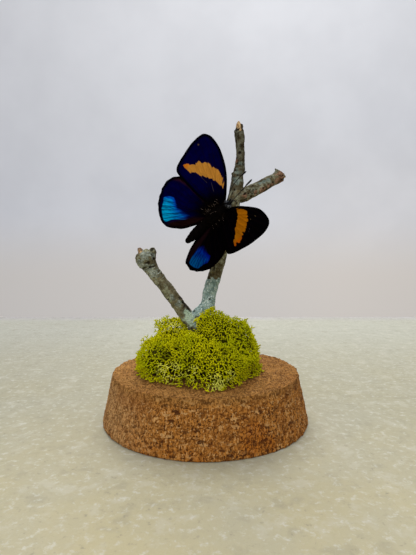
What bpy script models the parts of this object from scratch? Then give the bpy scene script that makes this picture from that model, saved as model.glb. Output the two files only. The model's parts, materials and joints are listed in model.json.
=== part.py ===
"""A dried butterfly on a forked twig, which stands in a clump of lichen moss on a thick round cork.

Metres, +Z up. The origin is the middle of the cork's flat underside, and the front faces -Y.
Lists of points are in millimetres and are scaled by MM where they are used.
"""

import math

import bmesh
import bpy
from mathutils import Euler, Matrix, Vector, noise

MM = 0.001
GAP = 0.3 * MM  # clear space between two pieces that touch

# Cork base: a round cork with sloping sides, pressed from granules
CORK_BOTTOM_RADIUS = 38.0 * MM
CORK_TOP_RADIUS = 34.5 * MM
CORK_HEIGHT = 17.8 * MM
CORK_EDGE = 0.9 * MM  # worn rounding of both rims
CORK_LUMP = 0.35 * MM  # how far the granules stand in and out
CORK_GRAIN = 5.0 * MM
CORK_SEGMENTS = 72
CORK_SIDE_RINGS = 6
CORK_LEVEL_RADIUS = 28.0 * MM  # the top is level this far out, where the moss lies
SOCKET_DEPTH = 6.0 * MM

# Twig: each route is (x, y, z, radius) in millimetres, from the foot outwards
TWIG_SIDES = 12
TWIG_STEP = 2.2 * MM  # spacing of the rings along a route
BARK_DEPTH = 0.22 * MM
BARK_GRAIN = 2.6 * MM
STEM_FOOT = CORK_HEIGHT - SOCKET_DEPTH + GAP
STEM_ROUTE = (
    (-2.2, 1.0, STEM_FOOT / MM, 2.6),
    (-2.8, 0.8, 20.0, 2.8),
    (-3.5, 0.4, 29.0, 3.0),
    (-3.2, 0.0, 36.2, 3.2),
    (-0.9, 0.0, 40.2, 3.0),
    (1.0, 0.0, 43.8, 2.8),
    (4.0, -0.2, 54.9, 2.6),
    (7.7, -0.6, 69.8, 2.6),
    (9.9, -0.2, 78.3, 2.55),
    (11.4, 0.5, 84.0, 2.5),
)
LEFT_ROUTE = (
    (-4.2, 0.0, 35.2, 2.7),
    (-6.9, -0.2, 37.6, 2.65),
    (-9.5, -0.6, 41.1, 2.5),
    (-13.5, -1.2, 46.8, 2.4),
    (-18.7, -2.1, 53.6, 2.45),
    (-20.6, -2.5, 56.5, 2.85),
    (-21.7, -2.8, 58.9, 3.5),
    (-21.8, -3.0, 60.8, 3.1),
    (-21.8, -3.0, 61.6, 2.1),
)
LEFT_KNOBS = (
    ((-22.9, -3.2, 59.4, 1.4), (-23.9, -3.3, 61.8, 1.1), (-24.3, -3.3, 63.0, 0.7)),
    ((-20.5, -2.8, 59.6, 1.5), (-19.5, -2.7, 62.0, 1.2), (-19.0, -2.6, 63.1, 0.6)),
)
UPPER_ROUTE = (
    (10.4, 0.0, 80.0, 2.5),
    (11.2, 0.4, 83.2, 2.5),
    (11.7, 0.9, 87.0, 2.35),
    (12.0, 1.1, 90.0, 2.15),
    (12.8, 1.3, 93.2, 1.95),
    (13.1, 1.6, 98.0, 1.6),
    (12.8, 2.2, 104.0, 1.7),
    (12.5, 2.5, 107.3, 1.75),
)
UPPER_BUMP = ((11.2, 0.6, 90.2, 1.3), (9.9, 0.1, 90.7, 0.7))
UPPER_SPLINTERS = (
    ((12.2, 2.3, 106.6, 0.95), (12.2, 2.4, 108.8, 0.75), (12.5, 2.5, 110.9, 0.2)),
    ((12.9, 2.8, 106.6, 0.9), (13.0, 2.8, 108.6, 0.6), (12.8, 2.8, 110.3, 0.15)),
)
RIGHT_ROUTE = (
    (12.6, 0.5, 82.2, 2.6),
    (16.1, 1.0, 83.8, 2.55),
    (19.7, 1.7, 85.7, 2.4),
    (24.6, 2.8, 88.5, 2.2),
    (28.8, 3.6, 90.7, 2.25),
)
RIGHT_SPLINTERS = (
    ((26.9, 3.3, 91.0, 1.0), (27.0, 3.4, 92.6, 0.7), (26.4, 3.4, 93.3, 0.3)),
    ((28.3, 3.6, 90.0, 1.5), (29.6, 3.7, 90.3, 1.0), (30.4, 3.8, 90.0, 0.3)),
)
UPPER_FORK = Vector((10.9, 0.25, 82.0)) * MM  # where the upper branch goes on from the stem
UPPER_FORK_UP = Vector((0.24, 0.1, 0.97)).normalized()
SPLINTER_SIDES = 6
TWIG_BREAK = 0.35  # how far a broken end's rim rises and falls, as a share of the radius

# Moss tufts: (x, y, radius along x, radius along y, top) in millimetres
TUFTS = {
    "moss_tuft_front": (5.4, -15.8, 11.4, 12.0, 31.6),
    "moss_tuft_middle": (-6.0, -11.8, 10.0, 11.0, 32.6),
    "moss_tuft_front_left": (-16.8, -5.2, 9.7, 12.3, 31.5),
    "moss_tuft_back_left": (-12.4, 6.5, 10.0, 11.5, 37.0),
    "moss_tuft_top": (5.0, -2.6, 10.8, 10.8, 41.5),
    "moss_tuft_right": (12.3, -1.5, 8.8, 13.4, 38.2),
    "moss_tuft_back": (0.5, 10.5, 15.0, 10.5, 37.0),
}
TUFT_MIDDLE = 0.36  # height of a tuft's widest level, as a share of its own height
TUFT_LUMP = 1.3 * MM
TUFT_GRAIN = 6.0 * MM
TUFT_SEGMENTS = 24
TUFT_RINGS = 12
TUFT_CLEARANCE = 0.45 * MM  # from the twig's bark to the moss

# Butterfly: its own frame has +X towards the head, +Y to its left and +Z up from its back.
# Outlines are (forward, outward) in millimetres from the wing's hinge, front edge first.
BUTTERFLY_PLACE = Vector((3.3, -5.2, 74.4)) * MM  # middle of the thorax
BUTTERFLY_TURN = Euler((math.radians(84.4), math.radians(-36.5), math.radians(-30.5)))
HINGE_OUT = 1.6 * MM  # from the body's axis to a wing's hinge
WING_THICKNESS = 0.36 * MM
WING_CAMBER = 0.7 * MM
WING_SPAN = 23.0 * MM
WING_RINGS = (0.35, 0.7, 1.0)
HINDWING_DROP = 0.55 * MM  # a hindwing's hinge lies this far under the forewing's
FOREWING_ROOT = (3.0, -0.2)
FOREWING_OUTLINE = (
    (4.6, -0.7), (8.0, 1.0), (11.2, 4.2), (14.0, 7.8), (15.9, 11.0), (17.3, 14.5), (18.0, 17.8),
    (18.0, 20.2), (17.0, 22.0), (15.0, 22.9), (12.4, 23.0), (9.6, 22.8), (6.6, 22.1), (3.8, 21.1),
    (1.6, 20.0), (0.7, 18.7), (0.5, 16.5), (0.5, 12.0), (0.6, 8.0), (0.9, 4.0), (1.2, -0.7),
)
HINDWING_ROOT = (-1.2, -0.2)
HINDWING_OUTLINE = (
    (0.6, -0.7), (1.6, 4.0), (2.6, 9.0), (2.4, 13.5), (1.0, 17.0), (-0.8, 18.4), (-3.2, 19.2),
    (-6.2, 19.1), (-8.8, 18.5), (-11.2, 17.4), (-13.2, 16.0), (-14.9, 14.3), (-16.4, 12.0),
    (-17.4, 9.4), (-17.5, 7.2), (-16.2, 5.2), (-14.2, 3.2), (-12.0, 1.5), (-9.2, 0.7),
    (-6.4, 0.1), (-3.4, -0.7),
)
# Each wing: side (+1 left, -1 right), lift and forward sweep in degrees, and its share of length and span
FOREWINGS = {"left": (1, 33.4, 0.0, 1.0, 0.965), "right": (-1, 29.8, -0.9, 1.0, 1.0)}
HINDWINGS = {"left": (1, 31.4, 2.0, 0.97, 1.02), "right": (-1, 27.8, 1.4, 1.0, 0.98)}
# The body's profile from the tip of the abdomen to the front of the head: (forward, radius)
BODY_PROFILE = (
    (-14.6, 0.4), (-13.8, 0.95), (-11.5, 1.35), (-8.5, 1.5), (-5.5, 1.5), (-3.2, 1.25), (-1.8, 1.8),
    (0.2, 2.2), (2.2, 2.2), (3.7, 1.8), (4.8, 1.1), (5.4, 1.1), (6.4, 1.35), (7.3, 1.15), (7.9, 0.5),
)
WAIST = -3.2 * MM  # the abdomen lies behind it
BODY_SIDES = 14
BODY_STEP = 0.9 * MM
ABDOMEN_RINGS = 0.06  # how far the abdomen's segments swell, as a share of the radius
ABDOMEN_RING_LENGTH = 1.7 * MM
EYE = (6.5, 0.95, 0.25, 0.85)  # forward, outward, up, radius
PALP = ((7.2, 0.35, -0.1, 0.4), (8.4, 0.45, 0.3, 0.32), (9.0, 0.5, 0.6, 0.15))
ANTENNA_SIDES = 6
ANTENNA_STEP = 2.0 * MM
ANTENNAE = {
    "left": (
        (6.8, 0.5, 0.7, 0.25), (11.6, 3.0, 1.4, 0.22), (16.2, 4.1, 1.2, 0.24),
        (17.6, 4.2, 1.1, 0.42), (19.0, 4.2, 1.0, 0.42), (19.6, 4.2, 1.0, 0.2),
    ),
    "right": (
        (6.8, -0.5, 0.7, 0.25), (11.4, -0.8, 1.7, 0.22), (15.6, -0.6, 2.1, 0.24),
        (17.0, -0.5, 2.2, 0.42), (18.8, -0.4, 2.2, 0.42), (19.4, -0.3, 2.2, 0.2),
    ),
}
LEG_RADIUS = 0.24 * MM
LEG_SIDES = 5
LEG_STEP = 0.9 * MM
LEG_KNEE_SHARE = 0.45  # of the way from the hip to the grip
LEG_KNEE_OUT = 1.6 * MM
LEG_TOE_TURN = math.radians(28)
# Each walking leg: (forward, outward) of its root, height where it grips the stem and turn round it
LEGS = {
    "left_middle": (1.2, 1.1, 80.0, 48.0),
    "left_hind": (-1.2, 1.1, 77.0, -52.0),
    "right_middle": (1.4, -1.1, 73.6, 50.0),
    "right_hind": (-1.2, -1.1, 70.2, -46.0),
}
LEG_ROOT_DOWN = 1.2 * MM
FORELEG = ((2.8, 0.8, -1.0, 0.3), (4.6, 1.1, -2.5, 0.24), (3.2, 1.0, -3.2, 0.16))

CORK_COLOUR = (0.42, 0.23, 0.11)
BARK_COLOUR = (0.23, 0.22, 0.16)
LICHEN_BARK_COLOUR = (0.33, 0.38, 0.34)
MOSS_COLOUR = (0.42, 0.46, 0.02)
BUTTERFLY_COLOUR = (0.012, 0.010, 0.035)


def clear_scene():
    for thing in list(bpy.data.objects):
        bpy.data.objects.remove(thing, do_unlink=True)


def material(name, colour, roughness, metallic=0.0):
    made = bpy.data.materials.new(name)
    made.use_nodes = True
    shader = made.node_tree.nodes["Principled BSDF"]
    shader.inputs["Base Color"].default_value = (*colour, 1.0)
    shader.inputs["Roughness"].default_value = roughness
    shader.inputs["Metallic"].default_value = metallic
    return made


def add_object(name, bm, look, crease=50.0):
    """A smooth-shaded object from bm, with edges sharper than crease degrees kept sharp."""
    bmesh.ops.recalc_face_normals(bm, faces=bm.faces)
    mesh = bpy.data.meshes.new(name)
    bm.to_mesh(mesh)
    bm.free()
    mesh.shade_smooth()
    mesh.set_sharp_from_angle(angle=math.radians(crease))
    thing = bpy.data.objects.new(name, mesh)
    bpy.context.scene.collection.objects.link(thing)
    if look:
        mesh.materials.append(look)
    return thing


def add_cutter(name, bm):
    """A shape that only cuts or joins others, and isn't a piece itself."""
    thing = add_object(name, bm, None)
    thing.hide_render = True
    thing.display_type = "WIRE"
    return thing


def boolean(thing, other, operation):
    step = thing.modifiers.new(f"{operation.lower()} {other.name}", "BOOLEAN")
    step.operation = operation
    step.solver = "EXACT"
    step.object = other


def route_points(route):
    return [Vector(point) * MM for point in route]


def smooth_route(points, step):
    """Samples about a step apart on the Catmull-Rom curve through points, which hold place and radius."""
    ends = [2 * points[0] - points[1], *points, 2 * points[-1] - points[-2]]
    samples = []
    for before, start, stop, after in zip(ends, ends[1:], ends[2:], ends[3:]):
        count = max(1, round((stop.xyz - start.xyz).length / step))
        for i in range(count):
            t = i / count
            samples.append(
                0.5 * (
                    2 * start
                    + (stop - before) * t
                    + (2 * before - 5 * start + 4 * stop - after) * t**2
                    + (3 * start - before - 3 * stop + after) * t**3
                )
            )
    samples.append(points[-1])
    return samples


def tube(samples, sides, rough=0.0, grain=BARK_GRAIN, grow=0.0, broken=0.0):
    """A closed tube round samples. A broken end's rim rises and falls by that share of its radius."""
    bm = bmesh.new()
    rings = []
    side = None
    last = len(samples) - 1
    for i, sample in enumerate(samples):
        ahead = (samples[min(i + 1, last)].xyz - samples[max(i - 1, 0)].xyz).normalized()
        side = side or ahead.orthogonal()
        side = (side - ahead * side.dot(ahead)).normalized()
        above = ahead.cross(side)
        ring = []
        for k in range(sides):
            turn = math.tau * k / sides
            out = side * math.cos(turn) + above * math.sin(turn)
            place = sample.xyz + out * sample.w
            place += out * (rough * noise.noise(place / grain) + grow)
            if i == last:
                place += ahead * (broken * sample.w * noise.noise(place / grain * 2))
            ring.append(bm.verts.new(place))
        rings.append(ring)
    for lower, upper in zip(rings, rings[1:]):
        for k in range(sides):
            n = (k + 1) % sides
            bm.faces.new((lower[k], lower[n], upper[n], upper[k]))
    bm.faces.new(rings[0][::-1])
    bm.faces.new(rings[-1])
    return bm


def cut_off(bm, point, outward):
    """Cuts away what lies past the plane, and closes the cut."""
    parts = [*bm.verts, *bm.edges, *bm.faces]
    cut = bmesh.ops.bisect_plane(
        bm, geom=parts, plane_co=point, plane_no=outward, clear_outer=True, dist=1e-7
    )
    rim = [part for part in cut["geom_cut"] if isinstance(part, bmesh.types.BMEdge)]
    if rim:
        bmesh.ops.holes_fill(bm, edges=rim, sides=0)


# Cork base


def cork_profile():
    """(radius, height) pairs up the side, with both rims rounded."""
    rise = CORK_HEIGHT - 2 * CORK_EDGE
    inwards = CORK_BOTTOM_RADIUS - CORK_TOP_RADIUS
    profile = [(CORK_BOTTOM_RADIUS - CORK_EDGE, 0.0)]
    for i in range(CORK_SIDE_RINGS + 1):
        share = i / CORK_SIDE_RINGS
        profile.append((CORK_BOTTOM_RADIUS - inwards * share, CORK_EDGE + rise * share))
    profile.append((CORK_TOP_RADIUS - CORK_EDGE, CORK_HEIGHT))
    profile.append(((CORK_TOP_RADIUS + CORK_LEVEL_RADIUS) / 2, CORK_HEIGHT))
    profile.append((CORK_LEVEL_RADIUS, CORK_HEIGHT))
    return profile


def cork_mesh():
    bm = bmesh.new()
    profile = cork_profile()
    rings = []
    for i, (radius, height) in enumerate(profile):
        lumpy = 1 < i < len(profile) - 1
        ring = []
        for k in range(CORK_SEGMENTS):
            turn = math.tau * k / CORK_SEGMENTS
            out = Vector((math.cos(turn), math.sin(turn), 0.0))
            place = out * radius + Vector((0.0, 0.0, height))
            if lumpy:
                lump = CORK_LUMP * noise.noise(place / CORK_GRAIN)
                level = radius < CORK_TOP_RADIUS - CORK_EDGE / 2
                place += Vector((0.0, 0.0, lump)) if level else out * lump
            ring.append(bm.verts.new(place))
        rings.append(ring)
    for lower, upper in zip(rings, rings[1:]):
        for k in range(CORK_SEGMENTS):
            n = (k + 1) % CORK_SEGMENTS
            bm.faces.new((lower[k], lower[n], upper[n], upper[k]))
    bm.faces.new(rings[0][::-1])
    bm.faces.new(rings[-1])
    return bm


def build_cork():
    cork = add_object("cork_base", cork_mesh(), material("cork", CORK_COLOUR, 0.9), crease=35.0)
    foot = route_points(STEM_ROUTE[:2])
    foot[0] = foot[0] - (foot[1] - foot[0]) * (GAP / (foot[1].z - foot[0].z))
    boolean(cork, add_cutter("socket_cutter", tube(foot, TWIG_SIDES, grow=2 * GAP)), "DIFFERENCE")


# Twig


def branch_mesh(route, grow=0.0, broken=0.0):
    samples = smooth_route(route_points(route), TWIG_STEP)
    return tube(samples, TWIG_SIDES, rough=BARK_DEPTH, grow=grow, broken=broken)


def twig_room(name, route, grow):
    """The branch grown all round, which cuts its own room out of its neighbours."""
    room = f"{name}_room_{grow / MM:.2f}"
    return bpy.data.objects.get(room) or add_cutter(room, branch_mesh(route, grow=grow))


def build_twig():
    bark = material("bark", BARK_COLOUR, 0.85)
    pale_bark = material("lichen_on_bark", LICHEN_BARK_COLOUR, 0.9)
    looks = {"main_stem": pale_bark, "left_branch": pale_bark, "upper_branch": bark, "right_branch": bark}
    routes = {
        "main_stem": STEM_ROUTE,
        "left_branch": LEFT_ROUTE,
        "upper_branch": UPPER_ROUTE,
        "right_branch": RIGHT_ROUTE,
    }
    lumps = {
        "left_branch": LEFT_KNOBS,
        "upper_branch": (UPPER_BUMP, *UPPER_SPLINTERS),
        "right_branch": RIGHT_SPLINTERS,
    }
    for name, route in routes.items():
        shape = branch_mesh(route, broken=TWIG_BREAK)
        if name == "main_stem":
            cut_off(shape, UPPER_FORK - UPPER_FORK_UP * GAP / 2, UPPER_FORK_UP)
        if name == "upper_branch":
            cut_off(shape, UPPER_FORK + UPPER_FORK_UP * GAP / 2, -UPPER_FORK_UP)
        branch = add_object(f"twig_{name}", shape, looks[name])
        for i, lump in enumerate(lumps.get(name, ())):
            samples = smooth_route(route_points(lump), TWIG_STEP / 2)
            boolean(branch, add_cutter(f"{name}_lump_{i}", tube(samples, SPLINTER_SIDES)), "UNION")
        if name in ("left_branch", "right_branch"):
            for other in ("main_stem", "upper_branch"):
                boolean(branch, twig_room(other, routes[other], GAP), "DIFFERENCE")


# Moss


def tuft_shape(size):
    """Centre and half-sizes of a tuft's rounded form."""
    x, y, along_x, along_y, top = (value * MM for value in size)
    height = top - CORK_HEIGHT
    middle = CORK_HEIGHT + TUFT_MIDDLE * height
    return Vector((x, y, middle)), Vector((along_x, along_y, top - middle))


def reach(half_sizes, direction):
    """How far the rounded form reaches from its centre along direction."""
    return 1 / math.sqrt(sum((d / h) ** 2 for d, h in zip(direction, half_sizes)))


def tuft_mesh(name):
    bm = bmesh.new()
    bmesh.ops.create_uvsphere(bm, u_segments=TUFT_SEGMENTS, v_segments=TUFT_RINGS, radius=1.0)
    centre, half_sizes = tuft_shape(TUFTS[name])
    for vert in bm.verts:
        place = centre + Vector(a * b for a, b in zip(vert.co, half_sizes))
        out = vert.co.normalized()
        vert.co = place + out * (TUFT_LUMP * noise.noise(place / TUFT_GRAIN))
    for other, size in TUFTS.items():
        if other == name:
            continue
        neighbour, neighbour_sizes = tuft_shape(size)
        towards = (neighbour - centre).normalized()
        own = reach(half_sizes, towards)
        between = centre.lerp(neighbour, own / (own + reach(neighbour_sizes, towards)))
        cut_off(bm, between - towards * GAP / 2, towards)
    cut_off(bm, Vector((0.0, 0.0, CORK_HEIGHT + GAP)), Vector((0.0, 0.0, -1.0)))
    return bm


def build_moss():
    look = material("moss", MOSS_COLOUR, 0.8)
    for name in TUFTS:
        tuft = add_object(name, tuft_mesh(name), look)
        for part, route in (("main_stem", STEM_ROUTE), ("left_branch", LEFT_ROUTE)):
            boolean(tuft, twig_room(part, route, TUFT_CLEARANCE), "DIFFERENCE")


# Butterfly


def body_mesh():
    points = [Vector((forward, 0.0, 0.0, radius)) * MM for forward, radius in BODY_PROFILE]
    samples = smooth_route(points, BODY_STEP)
    for sample in samples:
        if sample.x < WAIST:
            sample.w *= 1 + ABDOMEN_RINGS * math.sin(math.tau * sample.x / ABDOMEN_RING_LENGTH)
    return tube(samples, BODY_SIDES)


def wing_point(point, pose, drop, depth):
    """A point of the wing's outline in the butterfly's frame, at this depth above the middle of the sheet."""
    side, lift, sweep, length, span = pose
    forward, outward = point[0] * MM * length, point[1] * MM * span
    share = max(0.0, outward / WING_SPAN)
    height = WING_CAMBER * 4 * share * (1 - share) + depth
    turned = Matrix.Rotation(math.radians(sweep), 3, "Z") @ Vector((forward, outward, height))
    raised = Matrix.Rotation(math.radians(lift), 3, "X") @ turned
    raised += Vector((0.0, HINGE_OUT, -drop))
    return Vector((raised.x, side * raised.y, raised.z))


def wing_mesh(outline, root, pose, drop):
    bm = bmesh.new()
    sheets = []
    for depth in (WING_THICKNESS / 2, -WING_THICKNESS / 2):
        middle = bm.verts.new(wing_point(root, pose, drop, depth))
        rings = []
        for share in WING_RINGS:
            places = [Vector(root).lerp(Vector(point), share) for point in outline]
            rings.append([bm.verts.new(wing_point(place, pose, drop, depth)) for place in places])
        sheets.append((middle, rings))
    count = len(outline)
    for middle, rings in sheets:
        for k in range(count):
            n = (k + 1) % count
            bm.faces.new((middle, rings[0][k], rings[0][n]))
            for inner, outer in zip(rings, rings[1:]):
                bm.faces.new((inner[k], outer[k], outer[n], inner[n]))
    upper, lower = (rings[-1] for _, rings in sheets)
    for k in range(count):
        n = (k + 1) % count
        bm.faces.new((upper[k], lower[k], lower[n], upper[n]))
    return bm


def stem_grip(samples, height, turn):
    """A point just off the bark at this height, turned round the stem from the side facing the butterfly."""
    above = next(i for i, sample in enumerate(samples) if sample.z > height)
    low, high = samples[above - 1], samples[above]
    centre = low.lerp(high, (height - low.z) / (high.z - low.z))
    axis = (high.xyz - low.xyz).normalized()
    facing = BUTTERFLY_PLACE - centre.xyz
    facing = (facing - axis * facing.dot(axis)).normalized()
    out = Matrix.Rotation(turn, 3, axis) @ facing
    return centre.xyz + out * (centre.w + BARK_DEPTH + GAP + LEG_RADIUS)


def leg_mesh(samples, into_own_frame, root, outward, height, turn):
    hip = Vector((root * MM, outward * MM, -LEG_ROOT_DOWN))
    grip = into_own_frame @ stem_grip(samples, height * MM, math.radians(turn))
    toe_turn = math.radians(turn) + math.copysign(LEG_TOE_TURN, turn)
    toe = into_own_frame @ stem_grip(samples, height * MM - 2 * LEG_RADIUS, toe_turn)
    outside = Vector((0.0, math.copysign(LEG_KNEE_OUT, outward), 0.0))
    knee = hip.lerp(grip, LEG_KNEE_SHARE) + outside
    points = [Vector((*place, LEG_RADIUS)) for place in (hip, knee, grip, toe)]
    return tube(smooth_route(points, LEG_STEP), LEG_SIDES)


def mirrored(route, side):
    return [Vector((x, side * y, z, radius)) * MM for x, y, z, radius in route]


def eye_mesh(side):
    bm = bmesh.new()
    forward, outward, up, radius = (value * MM for value in EYE)
    place = Matrix.Translation((forward, side * outward, up))
    bmesh.ops.create_icosphere(bm, subdivisions=2, radius=radius, matrix=place)
    return bm


def build_butterfly():
    look = material("butterfly", BUTTERFLY_COLOUR, 0.45)
    butterfly = add_object("butterfly", body_mesh(), look)
    butterfly.location = BUTTERFLY_PLACE
    butterfly.rotation_euler = BUTTERFLY_TURN
    placed = Matrix.Translation(BUTTERFLY_PLACE) @ BUTTERFLY_TURN.to_matrix().to_4x4()
    stem = smooth_route(route_points(STEM_ROUTE), TWIG_STEP)
    grown = {}
    for name, pose in FOREWINGS.items():
        grown[f"{name}_forewing"] = wing_mesh(FOREWING_OUTLINE, FOREWING_ROOT, pose, 0.0)
    for name, pose in HINDWINGS.items():
        grown[f"{name}_hindwing"] = wing_mesh(HINDWING_OUTLINE, HINDWING_ROOT, pose, HINDWING_DROP)
    for name, route in ANTENNAE.items():
        grown[f"{name}_antenna"] = tube(smooth_route(route_points(route), ANTENNA_STEP), ANTENNA_SIDES)
    for name, (root, outward, height, turn) in LEGS.items():
        grown[f"{name}_leg"] = leg_mesh(stem, placed.inverted(), root, outward, height, turn)
    for name, side in (("left", 1), ("right", -1)):
        grown[f"{name}_eye"] = eye_mesh(side)
        grown[f"{name}_palp"] = tube(mirrored(PALP, side), LEG_SIDES)
        grown[f"{name}_foreleg"] = tube(mirrored(FORELEG, side), LEG_SIDES)
    for name, bm in grown.items():
        part = add_cutter(name, bm)
        part.parent = butterfly
        boolean(butterfly, part, "UNION")


clear_scene()
build_cork()
build_twig()
build_moss()
build_butterfly()
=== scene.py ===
"""Looks for a dried butterfly on a forked twig in lichen moss on a cork. Metres, in the CAD's frame."""

import itertools
import json
import math
import random

import bmesh
import bpy
import numpy as np
from mathutils import Euler, Matrix, Vector, noise

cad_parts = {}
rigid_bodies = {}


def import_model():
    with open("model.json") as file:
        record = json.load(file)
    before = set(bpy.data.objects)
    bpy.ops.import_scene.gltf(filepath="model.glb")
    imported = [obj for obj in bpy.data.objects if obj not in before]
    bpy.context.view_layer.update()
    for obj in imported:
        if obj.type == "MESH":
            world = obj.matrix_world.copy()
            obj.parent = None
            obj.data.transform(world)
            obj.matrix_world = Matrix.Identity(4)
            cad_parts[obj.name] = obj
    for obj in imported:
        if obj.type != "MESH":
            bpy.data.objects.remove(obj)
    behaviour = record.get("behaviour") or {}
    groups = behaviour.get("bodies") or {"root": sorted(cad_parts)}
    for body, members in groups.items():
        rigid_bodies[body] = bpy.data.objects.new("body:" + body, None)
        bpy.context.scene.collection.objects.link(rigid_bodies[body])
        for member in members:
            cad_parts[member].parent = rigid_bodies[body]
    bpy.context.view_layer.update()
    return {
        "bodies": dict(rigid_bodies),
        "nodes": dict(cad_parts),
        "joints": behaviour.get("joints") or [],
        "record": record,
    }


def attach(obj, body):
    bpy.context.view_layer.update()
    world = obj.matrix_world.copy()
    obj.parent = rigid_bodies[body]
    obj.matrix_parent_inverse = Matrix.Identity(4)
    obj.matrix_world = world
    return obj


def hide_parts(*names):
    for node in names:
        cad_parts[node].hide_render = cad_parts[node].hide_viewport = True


MM = 0.001

# Millimetres and degrees. These are the solids' values, but the stem near its fork and the abdomen keep
# closer to the photo. Routes and lumps are (x, y, z, radius) points.
CORK_BOTTOM, CORK_TOP, CORK_HEIGHT = 38.0, 34.5, 17.8
STEM_ROUTE = (
    (-2.2, 1.0, 12.1, 2.6), (-2.8, 0.8, 20.0, 2.8), (-3.5, 0.4, 29.0, 3.0), (-3.2, 0.0, 36.2, 3.2),
    (-0.4, 0.0, 39.4, 3.0), (0.9, 0.0, 42.6, 2.65), (1.7, 0.0, 47.0, 2.55), (4.0, -0.2, 54.9, 2.6),
    (7.7, -0.6, 69.8, 2.6), (9.9, -0.2, 78.3, 2.55), (11.4, 0.5, 84.0, 2.5),
)
LEFT_ROUTE = (
    (-4.2, 0.0, 35.2, 2.7), (-6.9, -0.2, 37.6, 2.65), (-9.5, -0.6, 41.1, 2.5), (-13.5, -1.2, 46.8, 2.4),
    (-18.7, -2.1, 53.6, 2.45), (-20.6, -2.5, 56.5, 2.85), (-21.7, -2.8, 58.9, 3.5),
    (-21.8, -3.0, 60.8, 3.1), (-21.8, -3.0, 61.6, 2.1),
)
UPPER_ROUTE = (
    (10.4, 0.0, 80.0, 2.5), (11.2, 0.4, 83.2, 2.5), (11.7, 0.9, 87.0, 2.35), (12.0, 1.1, 90.0, 2.15),
    (12.8, 1.3, 93.2, 1.95), (13.1, 1.6, 98.0, 1.6), (12.8, 2.2, 104.0, 1.7), (12.5, 2.5, 107.3, 1.75),
)
RIGHT_ROUTE = (
    (12.6, 0.5, 82.2, 2.6), (16.1, 1.0, 83.8, 2.55), (19.7, 1.7, 85.7, 2.4), (24.6, 2.8, 88.5, 2.2),
    (28.8, 3.6, 90.7, 2.25),
)
# Knobs and splinters that stand out of the branches
LUMPS = (
    ((-22.9, -3.2, 59.4, 1.4), (-23.9, -3.3, 61.8, 1.1), (-24.3, -3.3, 63.0, 0.7)),
    ((-20.5, -2.8, 59.6, 1.5), (-19.5, -2.7, 62.0, 1.2), (-19.0, -2.6, 63.1, 0.6)),
    ((11.2, 0.6, 90.2, 1.3), (9.9, 0.1, 90.7, 0.7)),
    ((12.2, 2.3, 106.6, 0.95), (12.2, 2.4, 108.8, 0.75), (12.5, 2.5, 110.7, 0.25)),
    ((12.9, 2.8, 106.6, 0.9), (13.0, 2.8, 108.6, 0.6), (12.8, 2.8, 110.2, 0.2)),
    ((26.9, 3.3, 91.0, 1.0), (27.0, 3.4, 92.6, 0.7), (26.4, 3.4, 93.2, 0.35)),
    ((28.3, 3.6, 90.0, 1.5), (29.6, 3.7, 90.3, 1.0), (30.3, 3.8, 90.0, 0.4)),
)
# Fuller places on the twig that the solids leave to the bark
SWELLINGS = (
    ((-21.2, -2.9, 56.6, 3.0), (-21.9, -3.1, 59.0, 3.95), (-21.9, -3.1, 60.6, 3.5)),
    ((-19.6, -2.8, 60.0, 1.4), (-19.0, -2.8, 61.8, 1.35), (-18.7, -2.7, 62.4, 0.9)),
    ((12.2, 2.2, 106.8, 1.15), (12.3, 2.3, 109.0, 1.0), (12.5, 2.4, 110.2, 0.55)),
    ((13.1, 2.5, 106.8, 1.0), (13.4, 2.6, 108.7, 0.72), (13.4, 2.6, 109.6, 0.4)),
    ((27.4, 3.4, 91.2, 1.1), (28.2, 3.5, 91.8, 0.9)),
)
# Tufts: the middle (x, y), the half-sizes along x and y, and the height of the top
TUFTS = {
    "moss_tuft_front": (5.4, -15.8, 11.4, 12.0, 31.6),
    "moss_tuft_middle": (-6.0, -11.8, 10.0, 11.0, 32.6),
    "moss_tuft_front_left": (-16.8, -5.2, 9.7, 12.3, 31.5),
    "moss_tuft_back_left": (-12.4, 6.5, 10.0, 11.5, 37.0),
    "moss_tuft_top": (5.0, -2.6, 10.8, 10.8, 41.5),
    "moss_tuft_right": (12.3, -1.5, 8.8, 13.4, 38.2),
    "moss_tuft_back": (0.5, 10.5, 15.0, 10.5, 37.0),
}
TUFT_MIDDLE = 0.36
BUTTERFLY_PLACE = Vector((3.3, -5.2, 74.4))
BUTTERFLY_TURN = Euler((math.radians(84.4), math.radians(-36.5), math.radians(-30.5)))
HINGE_OUT, WING_CAMBER, WING_SPAN, HINDWING_DROP = 1.6, 0.7, 23.0, 0.55
FOREWING_ROOT, HINDWING_ROOT = (3.0, -0.2), (-1.2, -0.2)
# Wing outlines as (forward, outward) from the hinge. The two sides of a specimen are never quite alike.
FOREWING_OUTLINES = {
    "left": (
        (4.6, -0.7), (6.9, 0.2), (9.7, 2.7), (12.5, 5.6), (14.4, 8.0), (15.8, 10.3), (17.0, 12.8),
        (17.9, 15.3), (18.3, 17.7), (18.3, 19.7), (17.9, 20.9), (17.1, 22.2), (15.9, 22.8), (13.8, 23.1),
        (11.3, 23.1), (9.2, 22.8), (7.1, 22.4), (4.6, 21.9), (2.5, 21.3), (1.2, 20.4), (0.7, 19.3),
        (0.5, 16.5), (0.5, 12.0), (0.6, 8.0), (0.9, 4.0), (1.2, -0.7),
    ),
    "right": (
        (4.6, -0.7), (7.6, 0.8), (10.5, 3.9), (12.6, 6.7), (15.1, 10.2), (16.7, 12.8), (17.6, 15.1),
        (18.2, 17.8), (18.4, 19.9), (18.2, 21.4), (17.4, 22.6), (15.7, 23.5), (13.6, 23.8), (11.1, 23.7),
        (8.6, 23.4), (6.2, 22.8), (4.1, 22.2), (2.3, 21.4), (0.8, 20.1), (0.5, 16.5), (0.5, 12.0),
        (0.6, 8.0), (0.9, 4.0), (1.2, -0.7),
    ),
}
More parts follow.
